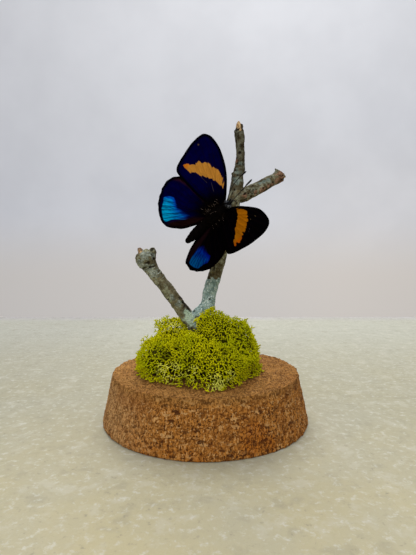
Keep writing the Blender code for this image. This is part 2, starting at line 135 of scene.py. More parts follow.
HINDWING_OUTLINES = {
    "left": (
        (0.6, -0.7), (1.6, 4.0), (2.6, 9.0), (2.4, 13.5), (1.0, 17.3), (-1.0, 18.9), (-2.4, 19.5),
        (-4.4, 19.8), (-6.2, 19.6), (-8.0, 19.1), (-9.9, 18.3), (-11.4, 17.7), (-12.8, 16.9),
        (-13.9, 15.9), (-15.2, 14.8), (-16.4, 13.0), (-17.1, 12.1), (-17.5, 10.9), (-17.5, 9.6),
        (-17.1, 8.3), (-16.4, 7.0), (-15.2, 5.7), (-13.7, 4.2), (-11.8, 3.0), (-9.9, 2.1), (-7.8, 1.1),
        (-3.4, -0.7),
    ),
    "right": (
        (0.6, -0.7), (1.6, 4.0), (2.6, 9.0), (2.4, 13.5), (1.0, 17.0), (-0.8, 18.8), (-3.2, 19.8),
        (-6.0, 20.1), (-7.8, 19.9), (-9.0, 19.4), (-10.7, 18.6), (-12.5, 17.3), (-13.6, 16.4),
        (-14.7, 15.2), (-15.8, 14.1), (-16.7, 12.1), (-17.4, 10.0), (-17.8, 8.5), (-17.7, 7.0),
        (-16.4, 4.8), (-14.8, 2.8), (-13.0, 1.4), (-11.7, 0.4), (-9.0, 0.0), (-6.4, -0.2), (-3.4, -0.9),
    ),
}
# Poses: side, lift, sweep, length and span
FOREWINGS = {"left": (1, 33.4, 0.0, 1.0, 0.965), "right": (-1, 29.8, -0.9, 1.0, 1.0)}
HINDWINGS = {"left": (1, 31.4, 2.0, 0.97, 1.02), "right": (-1, 27.8, 1.4, 1.0, 0.98)}
# The body in its own frame, forward, outward and up: profile, palps and antennae end in a radius
BODY_PROFILE = (
    (-15.3, 0.35), (-14.7, 0.9), (-12.4, 1.55), (-9.0, 2.0), (-5.5, 1.8), (-3.2, 1.35), (-1.8, 1.8),
    (0.2, 2.2), (2.2, 2.2), (3.7, 1.8), (4.8, 1.1), (5.4, 1.1), (6.4, 1.35), (7.3, 1.15), (7.9, 0.5),
)
EYE = (6.5, 0.95, 0.25, 0.85)
PALP = ((7.2, 0.35, -0.1, 0.4), (8.4, 0.45, 0.3, 0.32), (9.0, 0.5, 0.6, 0.15))
ANTENNAE = {
    "left": (
        (6.8, 0.5, 0.7, 0.17), (11.2, 3.0, 1.4, 0.13), (15.6, 4.1, 1.2, 0.14), (16.9, 4.2, 1.1, 0.28),
        (18.3, 4.2, 1.0, 0.3), (18.9, 4.2, 1.0, 0.12),
    ),
    "right": (
        (6.8, -0.5, 0.7, 0.17), (11.4, -0.8, 1.7, 0.13), (15.6, -0.6, 2.1, 0.14), (17.0, -0.5, 2.2, 0.28),
        (18.6, -0.4, 2.2, 0.3), (19.2, -0.3, 2.2, 0.12),
    ),
}
# Legs that hold the stem: the hip (forward, outward), the grip's height and its turn round the stem
LEGS = {
    "left_middle": (1.2, 1.1, 80.0, 48.0), "left_hind": (-1.2, 1.1, 77.0, -52.0),
    "right_middle": (1.4, -1.1, 73.6, 50.0), "right_hind": (-1.2, -1.1, 70.2, -46.0),
}
FORELEG = ((2.8, 0.8, -1.0, 0.3), (4.6, 1.1, -2.5, 0.22), (3.2, 1.0, -3.2, 0.16))

# Markings, as (forward, outward) from a wing's hinge
BANDS = {
    "left": (
        (4.2, 20.0), (5.6, 19.7), (6.3, 18.2), (7.8, 17.2), (9.5, 17.1), (10.2, 15.5), (11.6, 14.6),
        (11.7, 12.4), (12.4, 10.9), (12.2, 8.1), (11.6, 6.3), (10.2, 4.7), (9.0, 3.7), (9.2, 5.4),
        (9.0, 7.4), (8.0, 10.0), (6.4, 12.6), (5.7, 15.1), (4.6, 15.7), (4.2, 17.3), (4.0, 18.8),
    ),
    "right": (
        (9.0, 3.9), (10.5, 5.4), (11.9, 7.5), (12.6, 9.5), (12.6, 11.5), (11.9, 14.6), (11.0, 15.2),
        (10.2, 16.9), (9.0, 17.7), (8.7, 16.6), (8.4, 18.2), (7.8, 18.8), (6.7, 19.6), (5.9, 19.9),
        (5.3, 18.9), (4.9, 20.2), (4.1, 19.6), (4.2, 17.6), (5.2, 16.3), (6.0, 15.0), (6.4, 12.8),
        (7.2, 11.5), (8.4, 9.5), (8.9, 7.2),
    ),
}
BLUES = {
    "left": (
        (-9.7, 16.4), (-8.9, 16.4), (-7.4, 15.2), (-6.5, 13.9), (-7.1, 12.7), (-8.2, 11.4), (-9.0, 10.2),
        (-8.7, 9.2), (-8.8, 8.1), (-8.4, 6.9), (-8.3, 6.1), (-9.6, 6.4), (-11.5, 7.7), (-13.9, 9.2),
        (-15.7, 9.9), (-16.2, 10.6), (-15.6, 11.8), (-14.5, 13.1), (-13.2, 14.4), (-12.1, 14.9),
        (-10.7, 15.6),
    ),
    "right": (
        (-15.8, 9.6), (-14.6, 8.5), (-12.7, 7.5), (-10.6, 6.7), (-8.7, 7.6), (-8.0, 10.1), (-6.5, 13.6),
        (-5.9, 14.5), (-6.6, 15.9), (-7.8, 16.4), (-10.1, 15.9), (-12.3, 15.6), (-14.1, 13.4),
        (-15.5, 10.9),
    ),
}
SPOTS = {"left": ((13.1, 21.1, 0.42), (14.1, 20.6, 0.22)), "right": ((14.8, 15.3, 0.3), (12.9, 14.8, 0.2))}
# Where a hindwing is brown: its inner fold, and on the left its front edge beside the forewing
FOLD = (
    (-3.0, 0.2), (-4.2, 1.6), (-6.8, 4.1), (-9.8, 6.1), (-12.9, 7.9), (-16.0, 9.6), (-16.6, 6.6),
    (-13.5, 3.6), (-9.0, 1.2), (-5.0, -0.6),
)
FRONT_EDGE = (
    (-2.3, 18.6), (-0.7, 17.0), (0.0, 15.0), (0.5, 13.0), (0.6, 10.2), (0.8, 8.0), (0.7, 5.6), (2.0, 5.6),
    (2.6, 10.0), (2.6, 13.0), (1.2, 17.0), (-0.9, 18.9),
)
BROWNS = {"left": (FOLD, FRONT_EDGE), "right": (FOLD,)}
# Dark lines across the blue patches, from their outer to their inner ends
PATCH_LINES = {
    "left": (
        ((-10.7, 16.2), (-7.9, 12.6)), ((-12.2, 15.0), (-8.6, 11.2)), ((-13.5, 14.1), (-8.9, 9.7)),
        ((-14.7, 12.9), (-8.3, 7.6)), ((-15.5, 11.3), (-8.6, 6.8)),
    ),
    "right": (
        ((-15.1, 10.6), (-10.9, 8.4)), ((-14.5, 12.2), (-10.2, 9.2)), ((-13.5, 13.4), (-9.6, 10.3)),
        ((-12.0, 15.0), (-8.7, 11.7)), ((-9.8, 15.8), (-7.8, 13.3)),
    ),
}
SCRATCHES = {
    "left": (((6.2, 12.4), (6.3, 9.4)), ((7.6, 8.7), (5.8, 5.4))),
    "right": (((10.5, 19.0), (11.4, 17.2)),),
}
FOREWING_VEINS = (
    ((3.0, 0.2), (6.6, 2.6), (10.4, 5.6), (13.6, 9.6), (15.9, 14.6), (16.6, 17.8)),
    ((3.0, 0.2), (6.0, 3.6), (9.2, 7.8), (12.8, 12.0), (15.8, 16.8), (17.8, 20.6)),
    ((9.2, 7.8), (12.0, 13.0), (15.0, 18.2), (16.6, 22.2)),
    ((9.2, 7.8), (9.0, 9.0), (11.8, 16.0), (14.4, 22.9)),
    ((9.0, 9.0), (7.4, 9.9), (9.6, 15.6), (11.7, 23.0)),
    ((7.4, 9.9), (6.2, 9.0), (7.4, 15.4), (8.8, 22.6)),
    ((3.0, 0.2), (4.6, 4.6), (6.2, 9.0)),
    ((4.9, 5.6), (5.0, 12.0), (5.4, 21.8)),
    ((3.0, 0.2), (2.4, 6.0), (2.4, 12.0), (2.4, 20.4)),
)
HINDWING_VEINS = (
    ((-1.0, 0.2), (0.6, 5.0), (1.2, 10.0), (0.8, 17.0)),
    ((-1.0, 0.2), (-1.6, 6.0), (-1.4, 12.0), (-1.2, 18.6)),
    ((-1.6, 6.0), (-2.6, 9.0), (-3.4, 14.0), (-4.2, 19.2)),
    ((-2.6, 9.0), (-4.6, 9.0), (-6.0, 14.0), (-7.4, 18.9)),
    ((-4.6, 9.0), (-5.6, 8.0), (-7.8, 12.8), (-10.2, 17.9)),
    ((-5.6, 8.0), (-4.8, 6.0), (-8.4, 11.0), (-12.9, 16.2)),
    ((-1.0, 0.2), (-3.0, 3.2), (-4.8, 6.0)),
    ((-4.2, 5.0), (-9.0, 9.0), (-15.7, 13.1)),
    ((-1.0, 0.2), (-5.0, 3.4), (-10.0, 5.6), (-17.3, 8.6)),
    ((-1.0, 0.2), (-5.0, 1.6), (-10.0, 2.8), (-14.6, 4.2)),
)


# Mesh helpers


def unit(numbers):
    return np.clip(numbers, 0, 1)


def distances(places, point):
    return np.linalg.norm(places - np.asarray(point), axis=1)


def mounds(places, marks):
    """The summed height of round marks (x, y, z, radius, height) at each place."""
    return sum(height * np.exp(-(distances(places, at) / radius) ** 2) for *at, radius, height in marks)


def noise_at(places, grain, seed=0.0):
    shift = Vector((seed, seed * 1.7, -seed))
    return np.array([noise.noise(Vector(place) / grain + shift) for place in places])


def cells_at(places, grain, seed=0.0):
    """For each place: distance to the nearest cell's middle, to the next one, and a number for the cell."""
    shift = Vector((seed, -seed, seed * 2))
    found = []
    for place in places:
        reaches, middles = noise.voronoi(Vector(place) / grain + shift)
        found.append((reaches[0], reaches[1], noise.cell(middles[0] * 7.31)))
    return np.array(found).T


def line_distance(points, line, closed=False):
    """Distance of points to the straight runs from each point of a line to the next."""
    line = np.asarray(line, float)
    nearest = np.full(len(points), np.inf)
    for start, stop in zip(line, np.roll(line, -1, axis=0) if closed else line[1:]):
        along = stop - start
        share = unit(((points - start) @ along) / (along @ along))
        nearest = np.minimum(nearest, np.linalg.norm(points - start - share[:, None] * along, axis=1))
    return nearest


def outline_distance(points, outline):
    """Signed distance of points to a closed outline, positive inside."""
    edges = np.asarray(outline, float)
    inside = np.zeros(len(points), bool)
    for start, stop in zip(edges, np.roll(edges, -1, axis=0)):
        along = stop - start
        crosses = (start[1] > points[:, 1]) != (stop[1] > points[:, 1])
        rise = along[1] if along[1] else 1e-9
        inside ^= crosses & (points[:, 0] < start[0] + along[0] * (points[:, 1] - start[1]) / rise)
    return np.where(inside, 1, -1) * line_distance(points, outline, True)


def bisected(most, steps, inside):
    """The longest reaches up to these that are still inside, by halving."""
    low, high = np.zeros(len(most)), most
    for _ in range(steps):
        middle = (low + high) / 2
        kept = inside(middle)
        low, high = np.where(kept, middle, low), np.where(kept, high, middle)
    return low


def curve_point(before, start, stop, after, share):
    """A point of the Catmull-Rom curve from start to stop."""
    return 0.5 * (
        2 * start + (stop - before) * share + (2 * before - 5 * start + 4 * stop - after) * share**2
        + (3 * start - before - 3 * stop + after) * share**3
    )


def smooth_route(route, step):
    """Samples about a step apart on the smooth curve through (x, y, z, radius) points."""
    points = [Vector(point) for point in route]
    ends = [2 * points[0] - points[1], *points, 2 * points[-1] - points[-2]]
    samples = []
    for corners in zip(ends, ends[1:], ends[2:], ends[3:]):
        count = max(1, round((corners[2] - corners[1]).xyz.length / step))
        samples.extend(curve_point(*corners, i / count) for i in range(count))
    return samples + [points[-1]]


def around(count):
    """The cosine and sine of equal turns."""
    turns = [math.tau * k / count for k in range(count)]
    return [(math.cos(turn), math.sin(turn)) for turn in turns]


def ball(rows, sides):
    """Rows of directions round a ball, from its top to its bottom."""
    turns = [math.pi * (i + 0.5) / rows for i in range(rows)]
    levels = [(math.sin(turn), math.cos(turn)) for turn in turns]
    return [[(out * x, out * y, up) for x, y in around(sides)] for out, up in levels]


def add_values(mesh, values):
    for name, numbers in values.items():
        layer = mesh.attributes.new(name, "FLOAT", "POINT")
        layer.data.foreach_set("value", np.asarray(numbers, np.float32))


def dressed(piece, slot, *nodes):
    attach(piece, "root")
    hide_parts(*nodes)


class Shape:
    """Vertices, faces and one number per vertex for each attribute, gathered for one mesh."""

    def __init__(self, *attributes):
        self.places = []
        self.faces = []
        self.values = {name: [] for name in attributes}

    def rows(self, first, count, width, closed=True):
        """Quads between this many rows and the row after each."""
        for low in range(first, first + count * width, width):
            for k in range(width if closed else width - 1):
                n = (k + 1) % width
                self.faces.append((low + k, low + n, low + width + n, low + width + k))

    def tube(self, samples, sides, **values):
        """A tube round (place, radius) samples, closed by a point at each end.

        A value is one number, or one for each sample.
        """
        first = len(self.places)
        last = len(samples) - 1
        circle = around(sides)
        side = None
        for i, (place, radius) in enumerate(samples):
            ahead = (samples[min(i + 1, last)][0] - samples[max(i - 1, 0)][0]).normalized()
            side = side or ahead.orthogonal()
            side = (side - ahead * side.dot(ahead)).normalized()
            above = ahead.cross(side)
            self.places.extend(place + (side * x + above * y) * radius for x, y in circle)
        self.rows(first, last, sides)
        for i, beside, order in ((0, 1, -1), (last, last - 1, 1)):
            place, radius = samples[i]
            ring, cap = first + i * sides, len(self.places)
            self.places.append(place + (place - samples[beside][0]).normalized() * radius * 0.6)
            self.faces.extend((cap, ring + (k + 1) % sides, ring + k)[::order] for k in range(sides))
        owners = [i for i in range(last + 1) for _ in range(sides)] + [0, last]
        for name, numbers in values.items():
            each = numbers if isinstance(numbers, list) else [numbers] * len(samples)
            self.values[name].extend(each[i] for i in owners)

    def limb(self, route, step, sides, frame=Matrix(), **values):
        """A tube along the smooth curve through a route, set in a frame."""
        samples = [(frame @ sample.xyz, sample.w) for sample in smooth_route(route, step)]
        self.tube(samples, sides, **values)

    def grid(self, rows, values, closed=True, capped=True):
        """Quads between rows of points, with one face over each end."""
        first, width = len(self.places), len(rows[0])
        for row in rows:
            self.places.extend(row)
        for name, numbers in values.items():
            self.values[name].extend(numbers)
        self.rows(first, len(rows) - 1, width, closed)
        last = len(self.places)
        if capped:
            self.faces.append(tuple(range(first, first + width))[::-1])
            self.faces.append(tuple(range(last - width, last)))
        return first

    def piece(self, name, look, scale=MM):
        mesh = bpy.data.meshes.new(name)
        mesh.from_pydata([tuple(place * scale) for place in self.places], [], self.faces)
        add_values(mesh, self.values)
        mesh.shade_smooth()
        mesh.materials.append(look)
        made = bpy.data.objects.new(name, mesh)
        bpy.context.scene.collection.objects.link(made)
        return made


# Material helpers


class Value:
    """An output of a node in a look, to count with, ramp and mix."""

    def __init__(self, look, socket):
        self.look = look
        self.socket = socket

    def counted(self, operation, other):
        return self.look.node("Math", {0: self, 1: other}, "Value", operation=operation)

    def __add__(self, other):
        return self.counted("ADD", other)

    def __sub__(self, other):
        return self.counted("SUBTRACT", other)

    def __mul__(self, other):
        return self.counted("MULTIPLY", other)

    def __truediv__(self, other):
        return self.counted("DIVIDE", other)

    def ramp(self, low, high, top=1.0, bottom=0.0, kind="SMOOTHSTEP"):
        """From the bottom where this is low to the top where it is high."""
        inputs = {0: self, 1: low, 2: high, 3: bottom, 4: top}
        return self.look.node("MapRange", inputs, "Result", interpolation_type=kind)

    def tint(self, low, high, first, second):
        """The first colour where this is low, and the second where it is high."""
        return self.look.mix(self.ramp(low, high), first, second)


class Look:
    """A procedural material, built node by node."""

    def __init__(self, name, roughness, specular=0.5):
        self.material = bpy.data.materials.new(name)
        self.material.use_nodes = True
        self.tree = self.material.node_tree
        self.shader = self.tree.nodes["Principled BSDF"].inputs
        self.shader["Roughness"].default_value = roughness
        self.shader["Specular IOR Level"].default_value = specular
        self.place = self.node("TexCoord", {}, "Object")

    def feed(self, value, socket):
        if isinstance(value, Value):
            self.tree.links.new(value.socket, socket)
        else:
            socket.default_value = (*value, 1.0) if socket.type == "RGBA" else value

    def node(self, kind, inputs, output, **settings):
        made = self.tree.nodes.new("ShaderNode" + kind)
        for key, value in settings.items():
            setattr(made, key, value)
        for key, value in inputs.items():
            self.feed(value, made.inputs[key])
        return Value(self, made.outputs[output])

    def attribute(self, name):
        return self.node("Attribute", {}, "Fac", attribute_name=name)

    def axis(self, name):
        return self.node("SeparateXYZ", {"Vector": self.place}, name)

    def noise(self, scale, detail=3.0, roughness=0.6, place=None, output="Fac"):
        inputs = {"Vector": place or self.place, "Scale": scale, "Detail": detail, "Roughness": roughness}
        return self.node("TexNoise", inputs, output)

    def cells(self, scale, place=None, output="Distance"):
        return self.node("TexVoronoi", {"Vector": place or self.place, "Scale": scale}, output)

    def mapped(self, place, scale, turn=(0.0, 0.0, 0.0)):
        return self.node("Mapping", {"Vector": place, "Rotation": turn, "Scale": scale}, "Vector")

    def mix(self, factor, first, second, blend="MIX"):
        inputs = {0: factor, 6: first, 7: second}
        return self.node("Mix", inputs, 2, data_type="RGBA", blend_type=blend)

    def layered(self, tone, *layers):
        """The tone under layers, each with its factor and its colour."""
        for factor, colour, *blend in layers:
            tone = self.mix(factor, tone, colour, *blend)
        return tone

    def finished(self, tone, height=None, distance=0.0, strength=0.5):
        """The material with this colour and these bumps."""
        self.feed(tone, self.shader["Base Color"])
        if height:
            inputs = {"Height": height, "Distance": distance, "Strength": strength}
            self.feed(self.node("Bump", inputs, "Normal"), self.shader["Normal"])
        return self.material


# Cork

# Rusty places on the cork: (x, y, z, radius), in metres
CORK_STAINS = (
    (0.0150, -0.0345, 0.0060, 0.0060), (0.0190, -0.0315, 0.0030, 0.0040),
    (-0.0020, -0.0378, 0.0005, 0.0022), (0.0030, -0.0374, 0.0030, 0.0010),
)
# Each layer of flecks: the turn of its grain and how fine it is along each axis
CORK_FLECKS = (
    ((0.5, 0.7, 0.9), (520.0, 1500.0, 1500.0)),
    ((0.2, 0.9, 2.6), (2600.0, 850.0, 2600.0)),
    ((1.1, 0.2, 4.4), (2600.0, 2600.0, 800.0)),
)
CORK_SEGMENTS = 500
CORK_GRAIN = 1.3
CORK_SIDE_ROWS = 40
CORK_TOP_STEP = 0.46
# The rims: rounding, height, radius, up or down
CORK_RIMS = ((0.5, 0.0, CORK_BOTTOM, -1), (0.6, CORK_HEIGHT, CORK_TOP, 1))
CORK_SINK = 0.04  # keeps the granules inside the solid
GRANULE_RELIEF, SEAM_DEPTH, SEAM_WIDTH, LOST_DEPTH = 0.16, 0.14, 0.12, 0.45
CORK_WAVES = ((0.07, 0.55, 5.0), (0.12, 5.0, 11.0), (0.08, 1.0, 30.0))  # height, grain, seed
RIM_WEAR, RIM_WORN = 0.5, 2.4  # how deep the top's rim is worn, and how far from its edge
# Bits that stand out of the cork or are missing from it: (x, y, z, radius, height)
CORK_BITS = (
    (-37.3, -3.0, 2.2, 0.6, 0.6), (34.3, 0.5, 17.3, 0.5, 0.6), (19.5, -28.5, 17.4, 0.7, -0.7),
    (-3.2, -36.2, 10.2, 0.8, 0.2), (24.0, -29.0, 3.0, 0.8, -0.5), (8.0, -36.8, 2.4, 0.9, -0.45),
)


def rim_rows(rounding, height, radius, up):
    """The rounded rim, from the side to the flat."""
    rows = []
    for degrees in range(0, 91, 18):
        out, rise = math.cos(math.radians(degrees)), math.sin(math.radians(degrees))
        rows.append((radius - rounding * (1 - out), height - up * rounding * (1 - rise), out, up * rise))
    return rows


def cork_rows():
    """(radius, height, out, up) rows from the underside's middle, up the side, to the top's middle."""
    low_rim, high_rim = (rim_rows(*rim) for rim in CORK_RIMS)
    rows = [(radius, 0.0, 0.0, 0.0) for radius in (0.5, 20.0, 34.0)] + low_rim[::-1]
    start, stop = low_rim[0], high_rim[0]
    for i in range(1, CORK_SIDE_ROWS):
        share = i / CORK_SIDE_ROWS
        rows.append((*(start[k] + (stop[k] - start[k]) * share for k in (0, 1)), 1.0, 0.0))
    rows += high_rim
    flat = [*np.arange(rows[-1][0] - 0.4, 14.0, -CORK_TOP_STEP), 11.0, 7.0, 3.0, 0.5]
    return rows + [(radius, CORK_HEIGHT, 0.0, 1.0) for radius in flat]


def build_cork():
    rows = cork_rows()
    circle = around(CORK_SEGMENTS)
    base = np.array([(radius * x, radius * y, height) for radius, height, *_ in rows for x, y in circle])
    out = np.array([(x, y, 0.0) for _ in rows for x, y in circle])
    sideways, upwards = (np.repeat([row[k] for row in rows], CORK_SEGMENTS) for k in (2, 3))
    wobble = np.stack([noise_at(base, 1.1, seed) for seed in (3.0, 9.0, 21.0)], axis=1)
    near, far, own = cells_at(base + wobble * 0.55, CORK_GRAIN)
    seams = np.exp(-((far - near) / SEAM_WIDTH) ** 2)
    depth = GRANULE_RELIEF * (own - 0.5) - SEAM_DEPTH * seams - CORK_SINK
    for height, grain, seed in CORK_WAVES:
        depth += height * noise_at(base, grain, seed)
    lost = unit((noise_at(base, 2.2, 40.0) - 0.40) * 5)
    depth -= LOST_DEPTH * lost * (0.6 + 0.4 * own)
    reach = np.linalg.norm(base[:, :2], axis=1)
    from_rim = np.hypot(CORK_HEIGHT - base[:, 2], np.clip(CORK_TOP - reach, 0, None))
    depth -= unit(1 - from_rim / RIM_WORN) * RIM_WEAR * unit(noise_at(base, 1.8, 50.0) + 0.1)
    depth += mounds(base, CORK_BITS)
    places = base + out * (depth * sideways)[:, None]
    places[:, 2] += depth * upwards
    reach = np.linalg.norm(places[:, :2], axis=1)
    places[:, :2] *= np.minimum(1.0, (CORK_BOTTOM - 0.01) / np.maximum(reach, 1.0))[:, None]
    places[:, 2] = np.where(base[:, 2] > 0, np.clip(places[:, 2], 0.0, CORK_HEIGHT + 0.2), 0.0)
    shape = Shape("pit")
    grid = [[Vector(place) for place in row] for row in places.reshape(len(rows), CORK_SEGMENTS, 3)]
    # pit marks the seams between granules and the lost hollows. The look darkens both: dark joints in the
    # seams, painted shade in the hollows.
    shape.grid(grid, {"pit": unit(seams * 0.6 + lost)})
    dressed(shape.piece("cork_body", cork_look()), "cork", "cork_base")


def cork_look():
    look = Look("cork", 0.9, 0.12)
    warp = look.noise(700.0, 2.0, 0.5, output="Color")
    shift = look.node("VectorMath", {0: warp, "Scale": 0.0012}, "Vector", operation="SCALE")
    place = look.node("VectorMath", {0: look.place, 1: shift}, "Vector", operation="ADD")
    flecks = []
    for turn, scale in CORK_FLECKS:
        colours = look.cells(1.0, look.mapped(place, scale, turn), "Color")
        flecks.append(look.node("SeparateColor", {"Color": colours}, "Red"))
    first, second, third = flecks
    mean = first * 0.45 + second + third
    lightest = first.counted("MAXIMUM", second).counted("MAXIMUM", third)
    darkest = first.counted("MINIMUM", second).counted("MINIMUM", third)
    specks = look.noise(2200.0, 3.0, 0.65)
    across, up = look.axis("X"), look.axis("Z")
    # The cork's left side is paler and greyer: painted light from the left.
    painted_light_left = mean.tint(0.78, 1.66, (0.235, 0.112, 0.036), (0.60, 0.345, 0.138))
    worn_and_shaded = mean.tint(0.7, 1.7, (0.135, 0.057, 0.011), (0.390, 0.192, 0.048))
    # The top's worn colour is darkened on its right part: painted shade.
    worn_and_shaded = look.mix(across.ramp(0.008, 0.030), worn_and_shaded, (0.84, 0.82, 0.85), "MULTIPLY")
    rust = mean.tint(0.9, 1.45, (0.080, 0.018, 0.002), (0.42, 0.130, 0.010))
    tone = look.layered(
        mean.tint(0.74, 1.70, (0.160, 0.051, 0.006), (0.49, 0.200, 0.036)),
        (lightest.ramp(0.93, 0.97, 0.6), (0.66, 0.40, 0.16)),
        (darkest.ramp(0.06, 0.03, 0.85), (0.050, 0.014, 0.003)),
        (specks.ramp(0.56, 0.70, 0.5), (0.60, 0.35, 0.13)),
        (specks.ramp(0.42, 0.30, 0.75), (0.095, 0.030, 0.006)),
        (across.ramp(-0.012, -0.034, 0.75), painted_light_left),
        (up.ramp(0.0135, 0.0176, 0.8), worn_and_shaded),
        (up.ramp(0.0075, 0.0) * look.noise(170.0).ramp(0.44, 0.60, 0.5), rust),
        (look.noise(55.0).ramp(0.50, 0.70, 0.28), (0.25, 0.080, 0.013)),
    )
    uneven = look.noise(420.0, 3.0, 0.7) * 0.007
    for *middle, radius in CORK_STAINS:
        away = look.node("VectorMath", {0: look.place, 1: middle}, "Value", operation="DISTANCE") + uneven
        tone = look.mix(away.ramp(radius + 0.0042, radius, 0.72), tone, rust)
    # Darker in seams and hollows: partly dark joints, partly painted shade.
    tone = look.mix(look.attribute("pit") * 0.38, tone, (0.06, 0.020, 0.005))
    return look.finished(tone, specks * 0.6 + mean * 0.17, 0.0006, 0.8)


# Twig

ROUTES = (STEM_ROUTE, LEFT_ROUTE, UPPER_ROUTE, RIGHT_ROUTE)
STEM, LEFT, UPPER = range(3)
TWIG_STEP, TWIG_SIDES = 0.6, 24
LUMP_STEP, LUMP_SIDES = 0.4, 12
TWIG_VOXEL = 0.21 * MM
WART_GRAIN, WART_HEIGHT, CRACK_DEPTH, FISSURE_DEPTH, SPLIT_HEIGHT = 0.66, 0.2, 0.3, 0.45, 0.22
NECK_HEIGHT = 54.6  # where the left branch is ringed below its head
COLLAR_HEIGHT = 107.2  # where the upper branch's bark ends in a dark ring
# Marks on the bark: (x, y, z, radius), and a depth for pits
LICHEN_PATCHES = (
    (-5.8, -2.6, 38.8, 3.0), (-5.0, -2.6, 36.0, 2.6), (-22.4, -5.5, 60.0, 2.8), (-22.9, -5.5, 57.6, 2.6),
    (-20.2, -5.5, 60.6, 2.2), (-20.4, -5.0, 55.4, 2.2), (-19.0, -4.6, 53.6, 1.9), (-12.2, -3.6, 44.6, 1.8),
    (-9.6, -3.4, 42.4, 1.8), (20.2, -0.4, 86.8, 1.3), (21.8, 0.0, 87.6, 1.3), (23.4, 0.6, 88.3, 1.2),
    (11.6, -1.2, 88.0, 2.3), (11.9, -0.9, 91.4, 2.1), (12.6, -0.6, 94.4, 1.3), (12.4, -0.4, 101.0, 1.5),
)
LICHEN_BAND = (37.2, 52.2)  # heights on the main stem
TIP_HEIGHT = 109.5  # above this height the bark only sinks in
BRANCH_SHADES = (0.72, 1.0, 0.12, 0.48)  # how light the bark of each branch is
SMOOTH_PATCHES = ((-6.3, -2.9, 39.2, 2.0), (-6.4, -3.0, 37.4, 2.3), (-5.8, -3.0, 35.4, 1.9))
WARM_PATCHES = (
    (18.6, -0.6, 83.6, 1.2), (20.2, -0.2, 84.4, 1.2), (21.8, 0.2, 85.2, 1.2), (23.5, 0.6, 86.1, 1.2),
    (25.2, 1.0, 87.0, 1.3), (26.9, 1.4, 87.9, 1.6), (28.6, 1.6, 89.0, 2.8), (28.4, 1.6, 91.0, 2.2),
    (14.2, -1.6, 82.2, 1.3), (-24.2, -4.0, 62.0, 1.5), (11.6, 0.6, 95.4, 0.9),
)
WOOD_PATCHES = (
    (-23.6, -4.2, 61.6, 0.9), (12.4, 1.6, 109.6, 2.4), (12.9, 1.0, 107.2, 0.6), (29.6, 3.6, 90.2, 1.1),
    (27.2, 3.4, 92.4, 0.8),
)
PITS = (
    (1.6, -2.9, 44.3, 0.34, 0.5), (-8.6, -3.0, 45.2, 0.4, 0.5), (-7.2, -3.0, 44.0, 0.4, 0.5),
    (-6.1, -2.8, 44.4, 0.35, 0.4), (-20.4, -5.9, 57.6, 0.6, 0.8), (-20.0, -5.6, 55.8, 0.45, 0.6),
    (-18.4, -5.4, 59.2, 0.55, 0.7), (-19.7, -3.6, 62.4, 0.7, 0.3), (-19.2, -5.4, 60.6, 0.5, 0.7),
    (12.3, -0.1, 98.4, 0.5, 0.6), (13.7, 0.2, 94.2, 0.4, 0.4), (10.6, -1.8, 84.6, 0.4, 0.4),
    (14.4, -1.7, 83.0, 0.4, 0.4), (-8.2, -1.2, 43.0, 0.9, 0.35), (-7.2, -1.4, 41.9, 1.0, 0.4),
    (-6.2, -1.6, 40.8, 0.9, 0.4), (-5.4, -1.6, 40.2, 0.7, 0.4), (29.8, 2.2, 89.1, 0.7, 0.2),
    (28.8, 1.6, 88.6, 0.5, 0.2), (-4.3, -1.2, 39.6, 0.6, 0.4), (-9.3, -1.4, 44.5, 0.6, 0.3),
)


def build_twig():
    shape = Shape()
    for route in ROUTES:
        shape.limb(route, TWIG_STEP, TWIG_SIDES)
    for lump in LUMPS + SWELLINGS:
        shape.limb(lump, LUMP_STEP, LUMP_SIDES)
    look = twig_look()
    twig = shape.piece("twig_wood", look)
    remesh = twig.modifiers.new("skin", "REMESH")
    remesh.mode = "VOXEL"
    remesh.voxel_size = TWIG_VOXEL
    whole = twig.evaluated_get(bpy.context.evaluated_depsgraph_get())
    twig.data = bpy.data.meshes.new_from_object(whole, depsgraph=None)
    twig.modifiers.clear()
    shape_bark(twig.data)
    twig.data.shade_smooth()
    twig.data.materials.clear()
    twig.data.materials.append(look)
    dressed(twig, "bark", "twig_main_stem", "twig_left_branch", "twig_upper_branch", "twig_right_branch")


def in_patches(places, patches, ragged, seed):
    """How far each place lies in any of the round patches, 0 to 1, with ragged edges."""
    uneven = noise_at(places, ragged, seed) * 1.1
    inside = [unit(1.6 * (1 - distances(places, at) / radius) + uneven) for *at, radius in patches]
    return np.max(inside, axis=0)


def along_twig(places):
    """For each place: the direction of the wood, how far along its branch it lies, and which branch."""
    best = np.full(len(places), 1e9)
    along = np.zeros((len(places), 3))
    length, branch = np.zeros(len(places)), np.zeros(len(places), int)
    for number, route in enumerate(ROUTES):
        samples = smooth_route(route, TWIG_STEP)
        travelled = 0.0
        for start, stop in zip(samples, samples[1:]):
            middle = np.array((start + stop)[:3]) / 2
            distance = distances(places, middle) - (start.w + stop.w) / 2
            closer = distance < best
            best = np.where(closer, distance, best)
            ahead = (stop.xyz - start.xyz).normalized()
            along[closer] = ahead
            length[closer] = travelled + (places[closer] - middle) @ np.array(ahead)
            branch[closer] = number
            travelled += (stop.xyz - start.xyz).length
    return along, length, branch


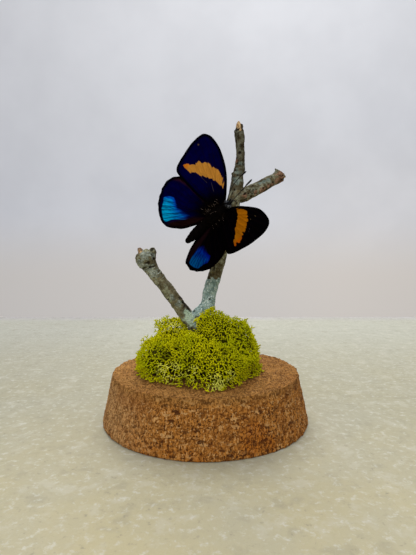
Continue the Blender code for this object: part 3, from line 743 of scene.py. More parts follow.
def shape_bark(mesh):
    flat = np.zeros(len(mesh.vertices) * 3, np.float32)
    mesh.vertices.foreach_get("co", flat)
    places = flat.reshape(-1, 3).astype(float) / MM
    mesh.vertices.foreach_get("normal", flat)
    normals = flat.reshape(-1, 3).astype(float)
    along, length, branch = along_twig(places)
    up = places[:, 2]
    on_left, on_thin = branch == LEFT, branch >= UPPER
    across = places - along * (places * along).sum(axis=1)[:, None]
    fibre = across / 0.9 + along * (length / 5.0)[:, None]
    rings = across / 2.6 + along * (length / 0.6)[:, None]
    splits = across / 0.35 + along * (length / 6.0)[:, None]

    low, high = LICHEN_BAND
    banded = unit(np.minimum(up - low, high - up) * 0.9 + noise_at(places, 1.1, 23.0))
    behind = unit(places[:, 1] / 1.5)
    banded *= 1 - behind * unit(0.6 + 1.8 * noise_at(places, 2.2, 51.0))
    bare = on_left & (up < 54.5) & (up > 41.0)
    lichen = np.maximum(in_patches(places, LICHEN_PATCHES, 1.3, 2.0), banded * (branch == STEM))
    lichen *= np.where(on_thin, 0.5, 1.0) * np.where(bare, 0.6, 1.0)
    smooth = in_patches(places, SMOOTH_PATCHES, 1.6, 8.0)
    warm = in_patches(places, WARM_PATCHES, 1.2, 14.0)
    wood = in_patches(places, WOOD_PATCHES, 0.8, 19.0)
    neck = unit(1.4 - np.abs(up - NECK_HEIGHT) / 2.6) * on_left
    lichen = np.maximum(lichen, neck * unit(noise_at(rings, 1.0, 44.0) * 3.5))
    ring_bark = on_left * (1 - lichen * 0.5)
    cracks = unit(noise_at(rings, 1.0, 4.0) - 0.12) * ring_bark * (1 + neck)
    fissures = unit(noise_at(fibre, 1.0, 6.0) - 0.15) * (1 - ring_bark) * (1 - np.maximum(smooth, lichen))
    near, _, own = cells_at(places, WART_GRAIN, 3.0)
    warts = unit(1.2 - near / 0.42) * (own > 0.35) * lichen * (1 - smooth) * np.where(on_thin, 0.35, 1.0)

    height = 0.28 * noise_at(places, 2.6, 1.0) + 0.12 * noise_at(places, 0.9, 7.0) * (1 - 0.6 * smooth)
    height += 0.05 * noise_at(places, 0.4, 9.0) + wood * SPLIT_HEIGHT * noise_at(splits, 1.0, 12.0)
    height += WART_HEIGHT * warts - CRACK_DEPTH * cracks - FISSURE_DEPTH * fissures
    pit = np.zeros(len(places))
    for *at, radius, depth in PITS:
        surface = places[distances(places, at).argmin()]
        hollow = np.exp(-(distances(places, surface) / radius) ** 2)
        pit = np.maximum(pit, hollow)
        height -= depth * hollow * 0.8
    height = np.where(up > TIP_HEIGHT, np.minimum(height, 0.0), height)
    places += normals * height[:, None]
    mesh.vertices.foreach_set("co", (places * MM).astype(np.float32).ravel())

    up = places[:, 2]
    collar = unit(1.5 - np.abs(up - COLLAR_HEIGHT - 0.5 * noise_at(places, 0.6, 33.0)) / 0.45)
    # The right side of the upper branch's tip is darker: painted shade.
    side = (places[:, 0] > 13.15) * (up > 107.4) * 0.85
    # Darker in cracks, fissures and pits: partly the bark's own dark cracks, partly painted shade in these
    # hollows.
    dark = unit(cracks * 1.1 + fissures * 2.0 + pit * 1.3)
    dark = np.maximum.reduce([dark, collar * (branch == UPPER) * (1 - wood), side])
    add_values(mesh, {
        "lichen": lichen, "smooth": smooth, "warm": warm, "wood": wood, "dark": dark, "wart": warts,
        # under darkens the stem where it goes down into the moss: painted shade.
        "under": unit((34.6 - up) / 3.0) * (places[:, 0] < 2),
        # The left branch's side facing right and down: partly brown bark, partly painted shade.
        "brown_and_shaded_side": unit(normals @ np.array((0.75, 0.0, 0.1)) - 0.1) * on_left * (1 - lichen),
        "shade": np.array(BRANCH_SHADES)[branch],
    })
    mesh.update()


def twig_look():
    look = Look("bark", 0.9, 0.08)
    fine = look.noise(1000.0, 4.0, 0.65)
    broad = look.noise(260.0, 4.0)
    crust = look.noise(520.0, 5.0, 0.7)
    grains = look.cells(1450.0)
    fibres = look.noise(1.0, place=look.mapped(look.place, (2200.0, 2200.0, 260.0)))
    shade, lichen = look.attribute("shade"), look.attribute("lichen")
    grey = fine.tint(0.36, 0.64, (0.115, 0.120, 0.080), (0.29, 0.30, 0.22))
    warm = fine.tint(0.4, 0.6, (0.10, 0.038, 0.020), (0.30, 0.165, 0.100))
    dusky = crust.tint(0.38, 0.60, (0.12, 0.130, 0.095), (0.31, 0.335, 0.265))
    whitish = look.attribute("wart").ramp(0.02, 0.35) * shade.ramp(1.0, 0.5, 1.0, 0.3)
    pale = look.layered(
        crust.tint(0.36, 0.60, (0.18, 0.265, 0.240), (0.37, 0.485, 0.44)),
        (shade.ramp(0.78, 0.95), dusky),
        (shade.ramp(0.60, 0.49), (0.60, 0.54, 0.50), "MULTIPLY"),
        (whitish * 0.95, (0.80, 0.89, 0.85)),
        (grains.ramp(0.60, 0.85, 0.6), (0.075, 0.100, 0.080)),
    )
    tone = look.layered(
        broad.tint(0.36, 0.62, (0.048, 0.036, 0.016), (0.155, 0.128, 0.072)),
        (crust.ramp(0.45, 0.59, 0.85), grey),
        # Brown bark and painted shade on the left branch's side facing right and down.
        (look.attribute("brown_and_shaded_side").ramp(0.05, 0.35, 0.8), (0.060, 0.042, 0.019)),
        (shade.ramp(0.5, 0.0, kind="LINEAR"), (0.42, 0.40, 0.38), "MULTIPLY"),
        (shade.ramp(0.5, 1.0, kind="LINEAR"), (1.26, 1.27, 1.15), "MULTIPLY"),
        (shade.ramp(0.8, 1.0, 0.15), grey),
        (look.attribute("warm").ramp(0.15, 0.8, 0.75), warm),
        (lichen.ramp(0.1, 0.55, 0.95), pale),
        (
            look.attribute("smooth").ramp(0.2, 0.6, 0.9),
            broad.tint(0.3, 0.7, (0.34, 0.44, 0.32), (0.50, 0.61, 0.47)),
        ),
        (
            look.attribute("wood").ramp(0.2, 0.6),
            fibres.tint(0.35, 0.65, (0.26, 0.13, 0.045), (0.72, 0.53, 0.29)),
        ),
        # Dark cracks and collar, painted shade in hollows and on the tip's side.
        (look.attribute("dark").ramp(0.1, 0.85, 0.92), (0.012, 0.008, 0.005)),
        # Painted shade where the stem goes down into the moss.
        (look.attribute("under").ramp(0.0, 1.0, 0.85), (0.010, 0.010, 0.005)),
    )
    grained = grains.ramp(0.5, 0.1) * lichen
    return look.finished(tone, fine + crust * 0.6 + grained * 0.8, 0.0006, 0.8)


# Moss

TUFT_BLEND = 0.42  # per millimetre: how closely the clump's surface keeps to each tuft's own form
TUFT_INSET = 1.75
TUFT_LUMPS = ((4.4, 1.0, 3.0), (1.9, 0.6, 8.0))  # size, height and seed of its unevenness
# Levels of a tuft's strands, outermost first: depth, spacing, samples, radii at its inner and outer end
STRAND_LEVELS = (
    (0.1, 0.76, 17000, 0.19, 0.165), (1.1, 1.4, 5200, 0.23, 0.2), (2.2, 2.6, 2200, 0.28, 0.24),
    (4.0, 4.6, 1000, 0.35, 0.3),
)
STRAND_STEP, STRAND_SIDES = 0.6, 4
ROOT_RADII = (0.4, 0.38)
BARK_CLEAR, CORK_CLEAR = 0.45, 0.3
HEART_GRID, HEART_DEPTH, HEART_REACH = (14, 26), 3.4, 0.62
NEIGHBOURS = list(itertools.product((-1, 0, 1), repeat=3))
PRONG = (0.3, 0.72, 0.165, 0.12)  # shortest, longest, radii
SPRIG_SHARE, SPRIG_FORKS, SPRIG_RADII = 0.05, 3, (0.21, 0.2, 0.18)
# Where sprigs stand out of the clump: (x, y, z, radius)
SPRIG_SPOTS = (
    (-16.5, 4.0, 35.5, 1.8), (-19.4, 4.6, 32.6, 1.6), (-22.4, 2.0, 28.5, 1.3), (-25.6, -4.0, 25.9, 1.4),
    (-2.4, -6.0, 37.6, 2.2), (0.2, -5.0, 38.6, 2.0), (2.2, -3.0, 40.2, 1.8), (8.3, -2.5, 39.2, 1.6),
    (14.2, -1.5, 38.0, 1.8), (16.4, -1.5, 35.4, 1.6), (19.0, -1.5, 30.2, 1.5), (5.8, -26.0, 18.6, 1.8),
    (-10.5, 14.0, 33.0, 1.8), (6.0, 18.5, 30.0, 1.8), (18.5, 8.0, 30.0, 1.6), (-23.0, 8.0, 27.0, 1.5),
)
# Where the clump is fuller or slimmer than its tufts' forms: (x, y, z, radius, height)
CLUMP_SWELLS = (
    (-19.9, 3.0, 30.8, 3.0, -2.0), (-24.8, -9.0, 20.5, 3.0, -1.8), (-26.4, -6.0, 24.0, 4.5, -0.5),
    (-24.5, -11.5, 18.5, 4.5, -3.0), (9.8, -1.0, 38.2, 3.2, -5.0), (9.2, -1.0, 35.6, 2.4, -2.5),
    (18.5, -1.0, 32.6, 4.0, -3.6), (20.1, -4.0, 22.9, 4.5, -1.4), (19.0, -3.0, 29.0, 3.0, -0.9),
    (11.5, -20.0, 18.9, 4.5, -3.4), (7.0, -24.5, 18.9, 3.5, -2.6), (16.0, -15.5, 19.0, 4.0, -3.0),
    (-3.2, -7.0, 36.0, 2.5, 1.6), (-4.2, -12.0, 34.0, 2.5, 1.2), (-0.6, -5.5, 38.2, 2.4, 1.3),
    (-17.8, 6.0, 34.6, 2.5, 1.2), (-11.1, -20.0, 19.1, 4.0, 1.0), (0.4, -26.0, 19.4, 3.5, 0.8),
    (-19.2, 5.0, 33.6, 1.5, 1.3), (11.4, 4.0, 35.6, 3.0, -4.0), (11.7, 9.0, 33.5, 3.0, -2.5),
)
# Gaps between the clump's bushes, sunk in and darkened with painted shade: (x, y, z, radius, depth)
GAPS = (
    (-13.6, -16.1, 27.0, 2.1, 3.8), (6.2, -20.9, 28.7, 1.5, 3.0), (11.6, -17.2, 28.6, 1.8, 3.2),
    (-9.9, -16.0, 29.2, 1.2, 2.2), (11.0, -10.5, 33.6, 1.5, 2.4), (5.4, -14.0, 31.2, 1.3, 2.4),
    (-2.6, -8.1, 32.6, 1.5, 3.0), (-0.2, -25.0, 23.3, 1.0, 1.8), (13.8, -21.5, 22.0, 1.5, 2.4),
    (-7.3, -22.4, 19.8, 1.4, 1.8), (2.4, -16.5, 31.8, 1.2, 2.0), (-17.6, -12.6, 26.0, 1.2, 2.2),
    (15.6, -12.5, 29.0, 1.4, 2.4), (-16.0, 12.5, 29.0, 1.6, 2.8), (8.0, 19.0, 27.0, 1.7, 2.8),
    (-4.5, 19.5, 29.0, 1.4, 2.4), (19.5, 6.0, 26.0, 1.4, 2.2), (-24.0, 3.0, 24.0, 1.3, 2.2),
)
GAP_CORE = 0.95  # where a gap is deeper than this, its floor has no fine strands
PALE_SPOTS = (
    (-10.5, -20.5, 21.4, 3.6), (-13.8, -18.6, 21.6, 3.0), (-4.0, -23.5, 22.4, 2.4),
    (3.2, -26.6, 20.2, 3.0), (-15.7, 4.0, 33.6, 2.6), (-11.5, 1.3, 33.4, 2.8), (7.5, -24.5, 21.5, 2.2),
)
WALL_DOWN = 20.5  # below this height the clump's side goes straight down


def tuft_form(x, y, along_x, along_y, top):
    """Centre and half-sizes of a tuft's rounded form."""
    middle = CORK_HEIGHT + TUFT_MIDDLE * (top - CORK_HEIGHT)
    return np.array((x, y, middle)), np.array((along_x, along_y, top - middle))


FORMS = [tuft_form(*size) for size in TUFTS.values()]
TWIG_SAMPLES = np.array([
    tuple(sample) for route in (STEM_ROUTE, LEFT_ROUTE) for sample in smooth_route(route, 1.0)
])


def clump_depth(places):
    """How far places lie below the clump's blended surface, and the number of the tuft they belong to."""
    gaps = []
    upright = np.column_stack([places[:, :2], np.maximum(places[:, 2], WALL_DOWN)])
    for centre, half_sizes in FORMS:
        away = upright - centre
        far = np.linalg.norm(away, axis=1) + 1e-9
        gaps.append(far - 1 / np.sqrt(((away / far[:, None] / half_sizes) ** 2).sum(axis=1)))
    gaps = np.array(gaps)
    blended = -np.log(np.exp(-TUFT_BLEND * gaps).sum(axis=0)) / TUFT_BLEND
    inset = TUFT_INSET * unit((places[:, 2] - 19.0) / 7.0)
    lumps = sum(height * noise_at(places, size, seed) for size, height, seed in TUFT_LUMPS)
    swells = mounds(places, CLUMP_SWELLS) - mounds(places, GAPS)
    return -blended - inset - lumps + swells, gaps.argmin(axis=0)


def off_twig(place):
    """The place, pushed out of the twig's bark."""
    away = np.array(place) - TWIG_SAMPLES[:, :3]
    short = TWIG_SAMPLES[:, 3] + BARK_CLEAR - np.linalg.norm(away, axis=1)
    worst = int(short.argmax())
    if short[worst] > 0:
        return place + Vector(away[worst]).normalized() * short[worst]
    return place


def any_direction(rng):
    up = rng.uniform(-1, 1)
    turn = rng.uniform(0, math.tau)
    flat = math.sqrt(1 - up * up)
    return Vector((flat * math.cos(turn), flat * math.sin(turn), up))


def leaning(direction, angle, rng):
    """A direction turned away from this one by the angle, to a random side."""
    side = direction.cross(any_direction(rng)).normalized()
    return (direction * math.cos(angle) + side * math.sin(angle)).normalized()


def beside(direction, turn):
    """A direction at right angles to this one, turned round it."""
    return Matrix.Rotation(turn, 3, direction) @ direction.orthogonal().normalized()


def level_places(number, depth, count, dice):
    """Places at this depth in one tuft, off the cork and the twig."""
    centre, half_sizes = FORMS[number]
    rays = dice.normal(size=(count, 3))
    rays /= np.linalg.norm(rays, axis=1)[:, None]
    most = np.full(count, half_sizes.max() * 1.3)
    reach = bisected(most, 11, lambda middle: clump_depth(centre + rays * middle[:, None])[0] > depth)
    places = centre + rays * reach[:, None]
    clear = np.linalg.norm(places[:, None] - TWIG_SAMPLES[:, :3], axis=2) - TWIG_SAMPLES[:, 3]
    kept = (reach > 0.3) & (places[:, 2] > CORK_HEIGHT + 0.35) & (clump_depth(places)[1] == number)
    kept &= (depth > 2) | (mounds(places, GAPS) < GAP_CORE)
    return places[kept & (clear.min(axis=1) > 0.5)]


def spaced(places, gap):
    """The places, without those too near an earlier one."""
    cells, kept = {}, []
    for place in places:
        key = tuple(int(v // gap) for v in place)
        near = (cells.get((key[0] + i, key[1] + j, key[2] + k), ()) for i, j, k in NEIGHBOURS)
        if all(np.linalg.norm(place - other) > gap for group in near for other in group):
            cells.setdefault(key, []).append(place)
            kept.append(Vector(place))
    return kept


def strand(shape, start, heading, end, final, radii, tone, rng):
    """A curved strand from start to end. It returns the direction it ends in."""
    reach = (end - start).length
    thick, thin = radii
    steps = max(2, round(reach / STRAND_STEP))
    samples = []
    for t in (i / steps for i in range(steps + 1)):
        place = off_twig(
            start * (2 * t**3 - 3 * t**2 + 1) + heading * reach * 0.6 * (t**3 - 2 * t**2 + t)
            + end * (3 * t**2 - 2 * t**3) + final * reach * 0.6 * (t**3 - t**2)
        )
        place.z = max(place.z, CORK_HEIGHT + CORK_CLEAR)
        samples.append((place, (thick + (thin - thick) * t) * rng.uniform(0.92, 1.08)))
    shape.tube(samples, STRAND_SIDES, tone=tone)
    return (samples[-1][0] - samples[-2][0]).normalized()


def prongs(shape, start, heading, tone, rng):
    """Two or three short forks at the end of a strand."""
    shortest, longest, *radii = PRONG
    turn = rng.uniform(0, math.tau)
    count = 3 if rng.random() < 0.45 else 2
    for i in range(count):
        side = beside(heading, turn + math.tau * i / count)
        spread = math.radians(rng.uniform(28, 62))
        towards = (heading * math.cos(spread) + side * math.sin(spread)).normalized()
        end = start + towards * rng.uniform(shortest, longest)
        strand(shape, start, heading, end, leaning(towards, 0.3, rng), radii, tone, rng)


def sprig(shape, start, heading, tone, rng):
    """A small bush of forks that stands out of the clump."""
    middle = start + heading * rng.uniform(0.7, 1.3)
    ahead = strand(shape, start, heading, middle, heading, SPRIG_RADII[:2], tone, rng)
    turn = rng.uniform(0, math.tau)
    for i in range(SPRIG_FORKS):
        side = beside(ahead, turn + math.tau * i / SPRIG_FORKS)
        towards = (ahead + side * rng.uniform(0.6, 1.1)).normalized()
        end = middle + towards * rng.uniform(0.5, 0.9)
        ahead_there = strand(shape, middle, ahead, end, towards, SPRIG_RADII[1:], tone, rng)
        prongs(shape, end, ahead_there, tone, rng)


def shade_core(shape, number):
    """A dark sheet in the middle of a tuft, painted shade that shows only through gaps between strands."""
    centre, half_sizes = FORMS[number]
    out = np.array(ball(*HEART_GRID)).reshape(-1, 3) * half_sizes

    def inside(middle):
        depth, owner = clump_depth(centre + out * middle[:, None])
        return (depth > HEART_DEPTH) & (owner == number)

    reach = bisected(np.full(len(out), HEART_REACH), 10, inside)
    places = centre + out * np.maximum(reach, 0.05)[:, None]
    places[:, 2] = np.maximum(places[:, 2], CORK_HEIGHT + 0.25)
    grid = [[off_twig(Vector(place)) for place in row] for row in places.reshape(*HEART_GRID, 3)]
    shape.grid(grid, {"tone": [0.5] * len(out)})


def build_tuft(name, number, look):
    rng = random.Random(100 + number)
    dice = np.random.default_rng(100 + number)
    centre = Vector(FORMS[number][0])
    shape = Shape("tip", "tone", "pale")
    levels = [
        (spaced(level_places(number, depth, count, dice), gap), radii)
        for depth, gap, count, *radii in STRAND_LEVELS
    ]
    # Each strand grows out of the nearest end of the level below it
    grown = [(place, (place - centre).normalized(), rng.random()) for place in levels[-1][0]]
    for place, outwards, tone in grown:
        strand(shape, centre.lerp(place, 0.45), outwards, place, outwards, ROOT_RADII, tone, rng)
    for level in (2, 1, 0):
        places, radii = levels[level]
        ends = np.array([tuple(parent[0]) for parent in grown])
        next_grown = []
        for place in places:
            parent, heading, tone = grown[int(distances(ends, place).argmin())]
            outwards = (place - centre).normalized()
            final = ((place - parent).normalized() + outwards * 0.5 + any_direction(rng) * 0.5).normalized()
            ahead = strand(shape, parent, leaning(heading, 0.4, rng), place, final, radii, tone, rng)
            own = min(1.0, max(0.0, tone + rng.uniform(-0.2, 0.2)))
            next_grown.append((place, ahead, own))
            if level == 1:
                prongs(shape, place, leaning(ahead, 0.5, rng), own, rng)
        grown = next_grown
    for place, heading, tone in grown:
        outwards = (place - centre).normalized()
        near_spot = any((place - Vector(at)).length < radius for *at, radius in SPRIG_SPOTS)
        if near_spot or rng.random() < SPRIG_SHARE:
            sprig(shape, place, (outwards + any_direction(rng) * 0.5).normalized(), tone, rng)
        else:
            prongs(shape, place, heading, tone, rng)
    shade_core(shape, number)
    places = np.array([tuple(place) for place in shape.places])
    # tip falls with depth below the clump's surface and in the gaps, and the look paints low tip dark:
    # painted shade.
    shape.values["tip"] = unit(1 - (clump_depth(places)[0] + mounds(places, GAPS)) / 4.0)
    picked = np.modf(np.array(shape.values["tone"]) * 37.0)[0] < 0.5
    near = [np.exp(-(distances(places, at) / radius) ** 2) for *at, radius in PALE_SPOTS]
    shape.values["pale"] = picked * np.max(near, axis=0)
    dressed(shape.piece(f"{name}_strands", look), "moss", name)


def moss_look():
    look = Look("moss", 0.8, 0.04)
    tip = look.attribute("tip")
    green = look.layered(
        look.noise(110.0, 3.0, 0.55).tint(0.35, 0.65, (0.52, 0.54, 0.002), (0.76, 0.715, 0.004)),
        (look.attribute("tone").ramp(0.0, 1.0, 0.5), (0.68, 0.61, 0.003)),
        (look.attribute("pale").ramp(0.15, 0.6, 0.7), (0.93, 0.92, 0.20)),
        (look.noise(600.0).ramp(0.35, 0.65, 0.3), (0.36, 0.40, 0.002)),
        # Darker towards the right: painted shade.
        (look.axis("X").ramp(-0.002, 0.013), (0.84, 0.86, 0.90), "MULTIPLY"),
    )
    # Darker with depth into the clump: painted shade.
    deep = tip.tint(0.1, 0.65, (0.05, 0.046, 0.001), (0.26, 0.26, 0.002))
    return look.finished(tip.tint(0.6, 0.95, deep, green), look.noise(2400.0, 2.0), 0.0002)


def build_moss():
    look = moss_look()
    for number, name in enumerate(TUFTS):
        build_tuft(name, number, look)


# Butterfly

PLACED = Matrix.Translation(BUTTERFLY_PLACE) @ BUTTERFLY_TURN.to_matrix().to_4x4()
WING_SHEET = 0.12
WING_AROUND, WING_RINGS = 168, 36
VEIN_WIDTH, VEIN_RISE, BETWEEN_SINK, WING_WAVE = 0.22, 0.09, 0.12, 0.25
# How deep the wings' rims are cut between their veins
FOREWING_SCALLOP, HINDWING_SCALLOPS = 0.05, {"left": 0.26, "right": 0.34}
FAR = 9.0  # stands for no mark nearby
BODY_STEP, BODY_SIDES = 0.16, 40
EYE_GRID = (20, 28)
LIMB_STEP, FEELER_STEP, LIMB_SIDES = 0.3, 0.22, 8
LEG_RADII = (0.3, 0.22, 0.17, 0.11)
STEM_STEP = 2.2
BODY_HAIRS, WING_HAIRS = 1500, 260
HAIR_SHARES = [i / 3 for i in range(4)]
# Pale hairs are partly dust, partly painted highlight, more of them on the left.
PALE_HAIRS = {"left": 0.035, "right": 0.006}  # the share of light hairs at the wings' roots
# Colours of the wing scales: deep and dark ground, orange, high and low blue, brown.
# The sides differ by painted light: the left's navy ground and brighter orange and blue are painted
# sheen of the structural blue, and the right's darker copies are painted shade.
WING_COLOURS_AS_LIT = {
    "left": (
        (0.0006, 0.0004, 0.038), (0.0005, 0.0003, 0.021), (0.58, 0.25, 0.038),
        (0.0, 0.175, 0.65), (0.0, 0.315, 0.62), (0.010, 0.0028, 0.0030),
    ),
    "right": (
        (0.0008, 0.0005, 0.0012), (0.0005, 0.0003, 0.0005), (0.31, 0.097, 0.0016),
        (0.0, 0.013, 0.20), (0.0, 0.058, 0.185), (0.0075, 0.0022, 0.0030),
    ),
}


def butterfly_piece(shape, name, look, outwards=True):
    made = shape.piece(f"butterfly_{name}", look)
    if outwards:
        bm = bmesh.new()
        bm.from_mesh(made.data)
        bmesh.ops.recalc_face_normals(bm, faces=bm.faces)
        bm.to_mesh(made.data)
        bm.free()
    dressed(made, "butterfly", "butterfly")


def wing_place(point, pose, drop, height):
    """A point of a wing in the display's frame, this far above the middle of the sheet."""
    side, lift, sweep, length, span = pose
    forward, outward = point[0] * length, point[1] * span
    share = max(0.0, outward / WING_SPAN)
    rise = WING_CAMBER * 4 * share * (1 - share) + height
    turned = Matrix.Rotation(math.radians(sweep), 3, "Z") @ Vector((forward, outward, rise))
    raised = Matrix.Rotation(math.radians(lift), 3, "X") @ turned
    raised += Vector((0.0, HINGE_OUT, -drop))
    return PLACED @ Vector((raised.x, side * raised.y, raised.z))


def closed_outline(outline, count):
    """The outline as a smooth closed curve, in equal steps."""
    points = [np.array(point, float) for point in outline]
    dense = [
        curve_point(*(points[(i + k) % len(points)] for k in (-1, 0, 1, 2)), share)
        for i in range(len(points)) for share in np.arange(0, 1, 0.1)
    ]
    dense = np.array(dense + [dense[0]])
    steps = np.linalg.norm(np.diff(dense, axis=0), axis=1)
    travelled = np.concatenate([[0], np.cumsum(steps)])
    wanted = np.linspace(0, travelled[-1], count, endpoint=False)
    return np.stack([np.interp(wanted, travelled, dense[:, i]) for i in (0, 1)], axis=1)


def lines_distance(points, lines):
    nearest = [line_distance(points, line) for line in lines]
    return np.min([np.full(len(points), FAR), *nearest], axis=0)


def outlines_distance(points, outlines):
    """How deep points lie in any of the outlines, negative outside."""
    deepest = [outline_distance(points, outline) for outline in outlines]
    return np.max(deepest, axis=0) if deepest else np.full(len(points), -FAR)


def build_wing(
    name, look, outline, root, veins, pose, drop, scallop,
    band=(), blue=(), brown=(), spot=(), scratch=(), line=(),
):
    root = np.array(root)
    rim = closed_outline(outline, WING_AROUND)
    inwards = root - rim
    inwards /= np.linalg.norm(inwards, axis=1)[:, None]
    far_out = unit((distances(rim, root) - 11.0) / 4.0)
    rim = rim + inwards * (scallop * unit(lines_distance(rim, veins) / 1.1) * far_out)[:, None]
    shares = [((i + 1) / WING_RINGS) ** 0.8 for i in range(WING_RINGS)]
    points = np.concatenate([root + (rim - root) * share for share in shares])
    count = len(points)
    vein = lines_distance(points, veins)
    edge = line_distance(points, rim, True)
    spots = [unit(1.4 - distances(points, at) / radius) for *at, radius in spot]
    values = {
        "band": outlines_distance(points, band), "blue": outlines_distance(points, blue), "vein": vein,
        "edge": edge, "spot": np.max([np.zeros(count), *spots], axis=0),
        "scratch": lines_distance(points, scratch), "base": distances(points, root),
        "forward": points[:, 0], "outward": points[:, 1],
        "brown": unit(outlines_distance(points, brown) / 1.2 + 0.5), "line": lines_distance(points, line),
    }
    fold = noise_at(np.column_stack([points, np.zeros(count)]), 4.0, pose[0] * 3.0)
    relief = VEIN_RISE * np.exp(-((vein / VEIN_WIDTH) ** 2)) - BETWEEN_SINK * unit(vein / 1.4)
    relief += WING_WAVE * fold
    relief *= np.clip(edge / 0.6, 0.25, 1)
    rounding = np.clip(edge / 0.25, 0.35, 1)
    shape = Shape(*values, "upper")
    firsts = []
    for upper, half in ((1.0, WING_SHEET / 2), (0.0, -WING_SHEET / 2)):
        heights = relief + half * rounding
        sheet = [wing_place(point, pose, drop, height) for point, height in zip(points, heights)]
        rows = [sheet[low:low + WING_AROUND] for low in range(0, count, WING_AROUND)]
        firsts.append(shape.grid(rows, dict(values, upper=[upper] * count), capped=False))
    upper_rim, lower_rim = (first + count - WING_AROUND for first in firsts)
    for k in range(WING_AROUND):
        n = (k + 1) % WING_AROUND
        shape.faces.append((upper_rim + k, upper_rim + n, lower_rim + n, lower_rim + k))
    shape.faces.extend(tuple(range(first, first + WING_AROUND)) for first in firsts)
    butterfly_piece(shape, name, look)


def times(colour, factor):
    return tuple(channel * factor for channel in colour)


def wing_look(name, deep, dark, orange, blue_high, blue_low, brown):
    """Wing scales: dark ground, an orange band and a blue patch."""
    look = Look(name, 0.85, 0.0)
    keys = ("forward", "outward", "base", "vein", "blue")
    forward, outward, base, vein, blue = (look.attribute(key) for key in keys)
    place = look.node("CombineXYZ", {"X": forward, "Y": outward}, "Vector")
    angle = (forward + 1.0).counted("ARCTAN2", outward + 2.0)
    rays = look.node("CombineXYZ", {"X": angle * 30.0, "Y": base * 0.2}, "Vector")
    streak = look.noise(1.0, 3.0, 0.65, rays)
    scales = look.noise(7.0, 2.0, 0.6, place)
    brownish = look.layered(
        forward.tint(-3.0, -1.0, brown, (0.033, 0.0085, 0.013)),
        (streak.ramp(0.5, 0.36, 0.8), times(brown, 0.15)),
    )
    ground = look.layered(
        look.noise(0.33, 3.0, 0.6, place).tint(0.3, 0.7, dark, deep),
        (base.ramp(12.0, 3.0, 0.95), (0.0006, 0.0004, 0.0006)),
        (vein.ramp(0.3, 0.05, 0.35), (0.004, 0.0012, 0.0012)),
        (look.attribute("brown"), brownish),
        (look.attribute("edge").ramp(1.5, 0.4, 0.95), (0.0005, 0.0004, 0.0005)),
    )
    ragged = (streak - 0.5) * 1.3
    band = look.attribute("band") + ragged - vein.ramp(0.5, 0.0, 0.3)
    shade = look.layered(
        scales.tint(0.35, 0.65, orange, times(orange, 0.8)),
        (streak.ramp(0.56, 0.40, 0.4), times(orange, 0.6)),
        (vein.ramp(0.22, 0.03, 0.4), times(orange, 0.45)),
        (outward.ramp(17.2, 19.4, 0.85), (orange[0] * 1.05, orange[1] * 0.6, orange[2] * 0.1)),
    )
    sky = look.layered(
        (outward * -0.5 + forward * 0.85).tint(-17.5, -12.5, blue_low, blue_high),
        (streak.ramp(0.55, 0.64, 0.5), times(blue_low, 1.35)),
        (streak.ramp(0.52, 0.40, 0.75), times(blue_high, 0.35)),
        (look.attribute("line").ramp(0.32, 0.05, 0.8), times(blue_high, 0.15)),
        (
            blue.ramp(1.4, 0.1, 0.8) * forward.ramp(-12.5, -8.0),
            (0.0, blue_high[1] * 0.12, blue_high[2] * 0.55),
        ),
    )
    fading = base.ramp(15.0, 10.5, 1.0, 0.1)
    patch = (blue + ragged * fading * 1.8) / (fading * 1.9 + 0.12)
    tone = look.layered(
        ground,
        (band.ramp(-0.05, 0.2), shade),
        (patch.ramp(-0.6, 0.6), sky),
        (look.attribute("spot").ramp(0.3, 0.9, 0.5), (0.20, 0.13, 0.05)),
        ((look.attribute("scratch") + scales * 0.12).ramp(0.22, 0.09, 0.45), (0.10, 0.075, 0.08)),
    )
    under = look.layered(
        look.noise(0.9, 4.0, 0.6, place).tint(0.4, 0.6, (0.030, 0.016, 0.008), (0.08, 0.048, 0.026)),
        (vein.ramp(0.3, 0.05, 0.6), (0.012, 0.006, 0.004)),
        (band.ramp(-0.1, 0.3, 0.5), (0.26, 0.15, 0.06)),
    )
    return look.finished(look.mix(look.attribute("upper"), under, tone), scales, 0.00012, 0.4)


def build_body():
    shape = Shape("fore")
    rows, fore = [], []
    middle_line = [(forward, 0.0, 0.0, radius) for forward, radius in BODY_PROFILE]
    for sample in smooth_route(middle_line, BODY_STEP):
        radius = sample.w
        if sample.x < -3.0:  # the abdomen's rings
            radius *= 0.95 + 0.09 * abs(math.sin(math.pi * sample.x / 1.7)) ** 0.5
        row = []
        for x, y in around(BODY_SIDES):
            place = Vector((sample.x, radius * x, radius * y))
            bump = noise.noise(place / 0.5) * 0.05 + noise.noise(place / 1.6) * 0.10
            row.append(PLACED @ (place + Vector((0.0, x, y)) * bump))
        rows.append(row)
        fore += [sample.x] * BODY_SIDES
    shape.grid(rows, {"fore": fore})
    for side in (1, -1):
        palp = [(PLACED @ Vector((x, side * y, z)), radius) for x, y, z, radius in PALP]
        shape.tube(palp, LIMB_SIDES, fore=8.0)
    butterfly_piece(shape, "body", body_look())
    eyes = Shape()
    forward, outward, up, radius = EYE
    for side in (1, -1):
        middle = Vector((forward, side * outward, up))
        eyes.grid([
            [PLACED @ (middle + Vector((x, z, y)) * radius) for x, y, z in row] for row in ball(*EYE_GRID)
        ], {})
    butterfly_piece(eyes, "eyes", eye_look())


def stem_grip(samples, height, turn):
    """A point just off the bark at this height, turned round the stem from its side to the butterfly."""
    above = next(i for i, sample in enumerate(samples) if sample.z > height)
    low, high = samples[above - 1], samples[above]
    centre = low.lerp(high, (height - low.z) / (high.z - low.z))
    axis = (high.xyz - low.xyz).normalized()
    facing = BUTTERFLY_PLACE - centre.xyz
    facing = (facing - axis * facing.dot(axis)).normalized()
    out = Matrix.Rotation(math.radians(turn), 3, axis) @ facing
    return PLACED.inverted() @ (centre.xyz + out * (centre.w + 0.62))


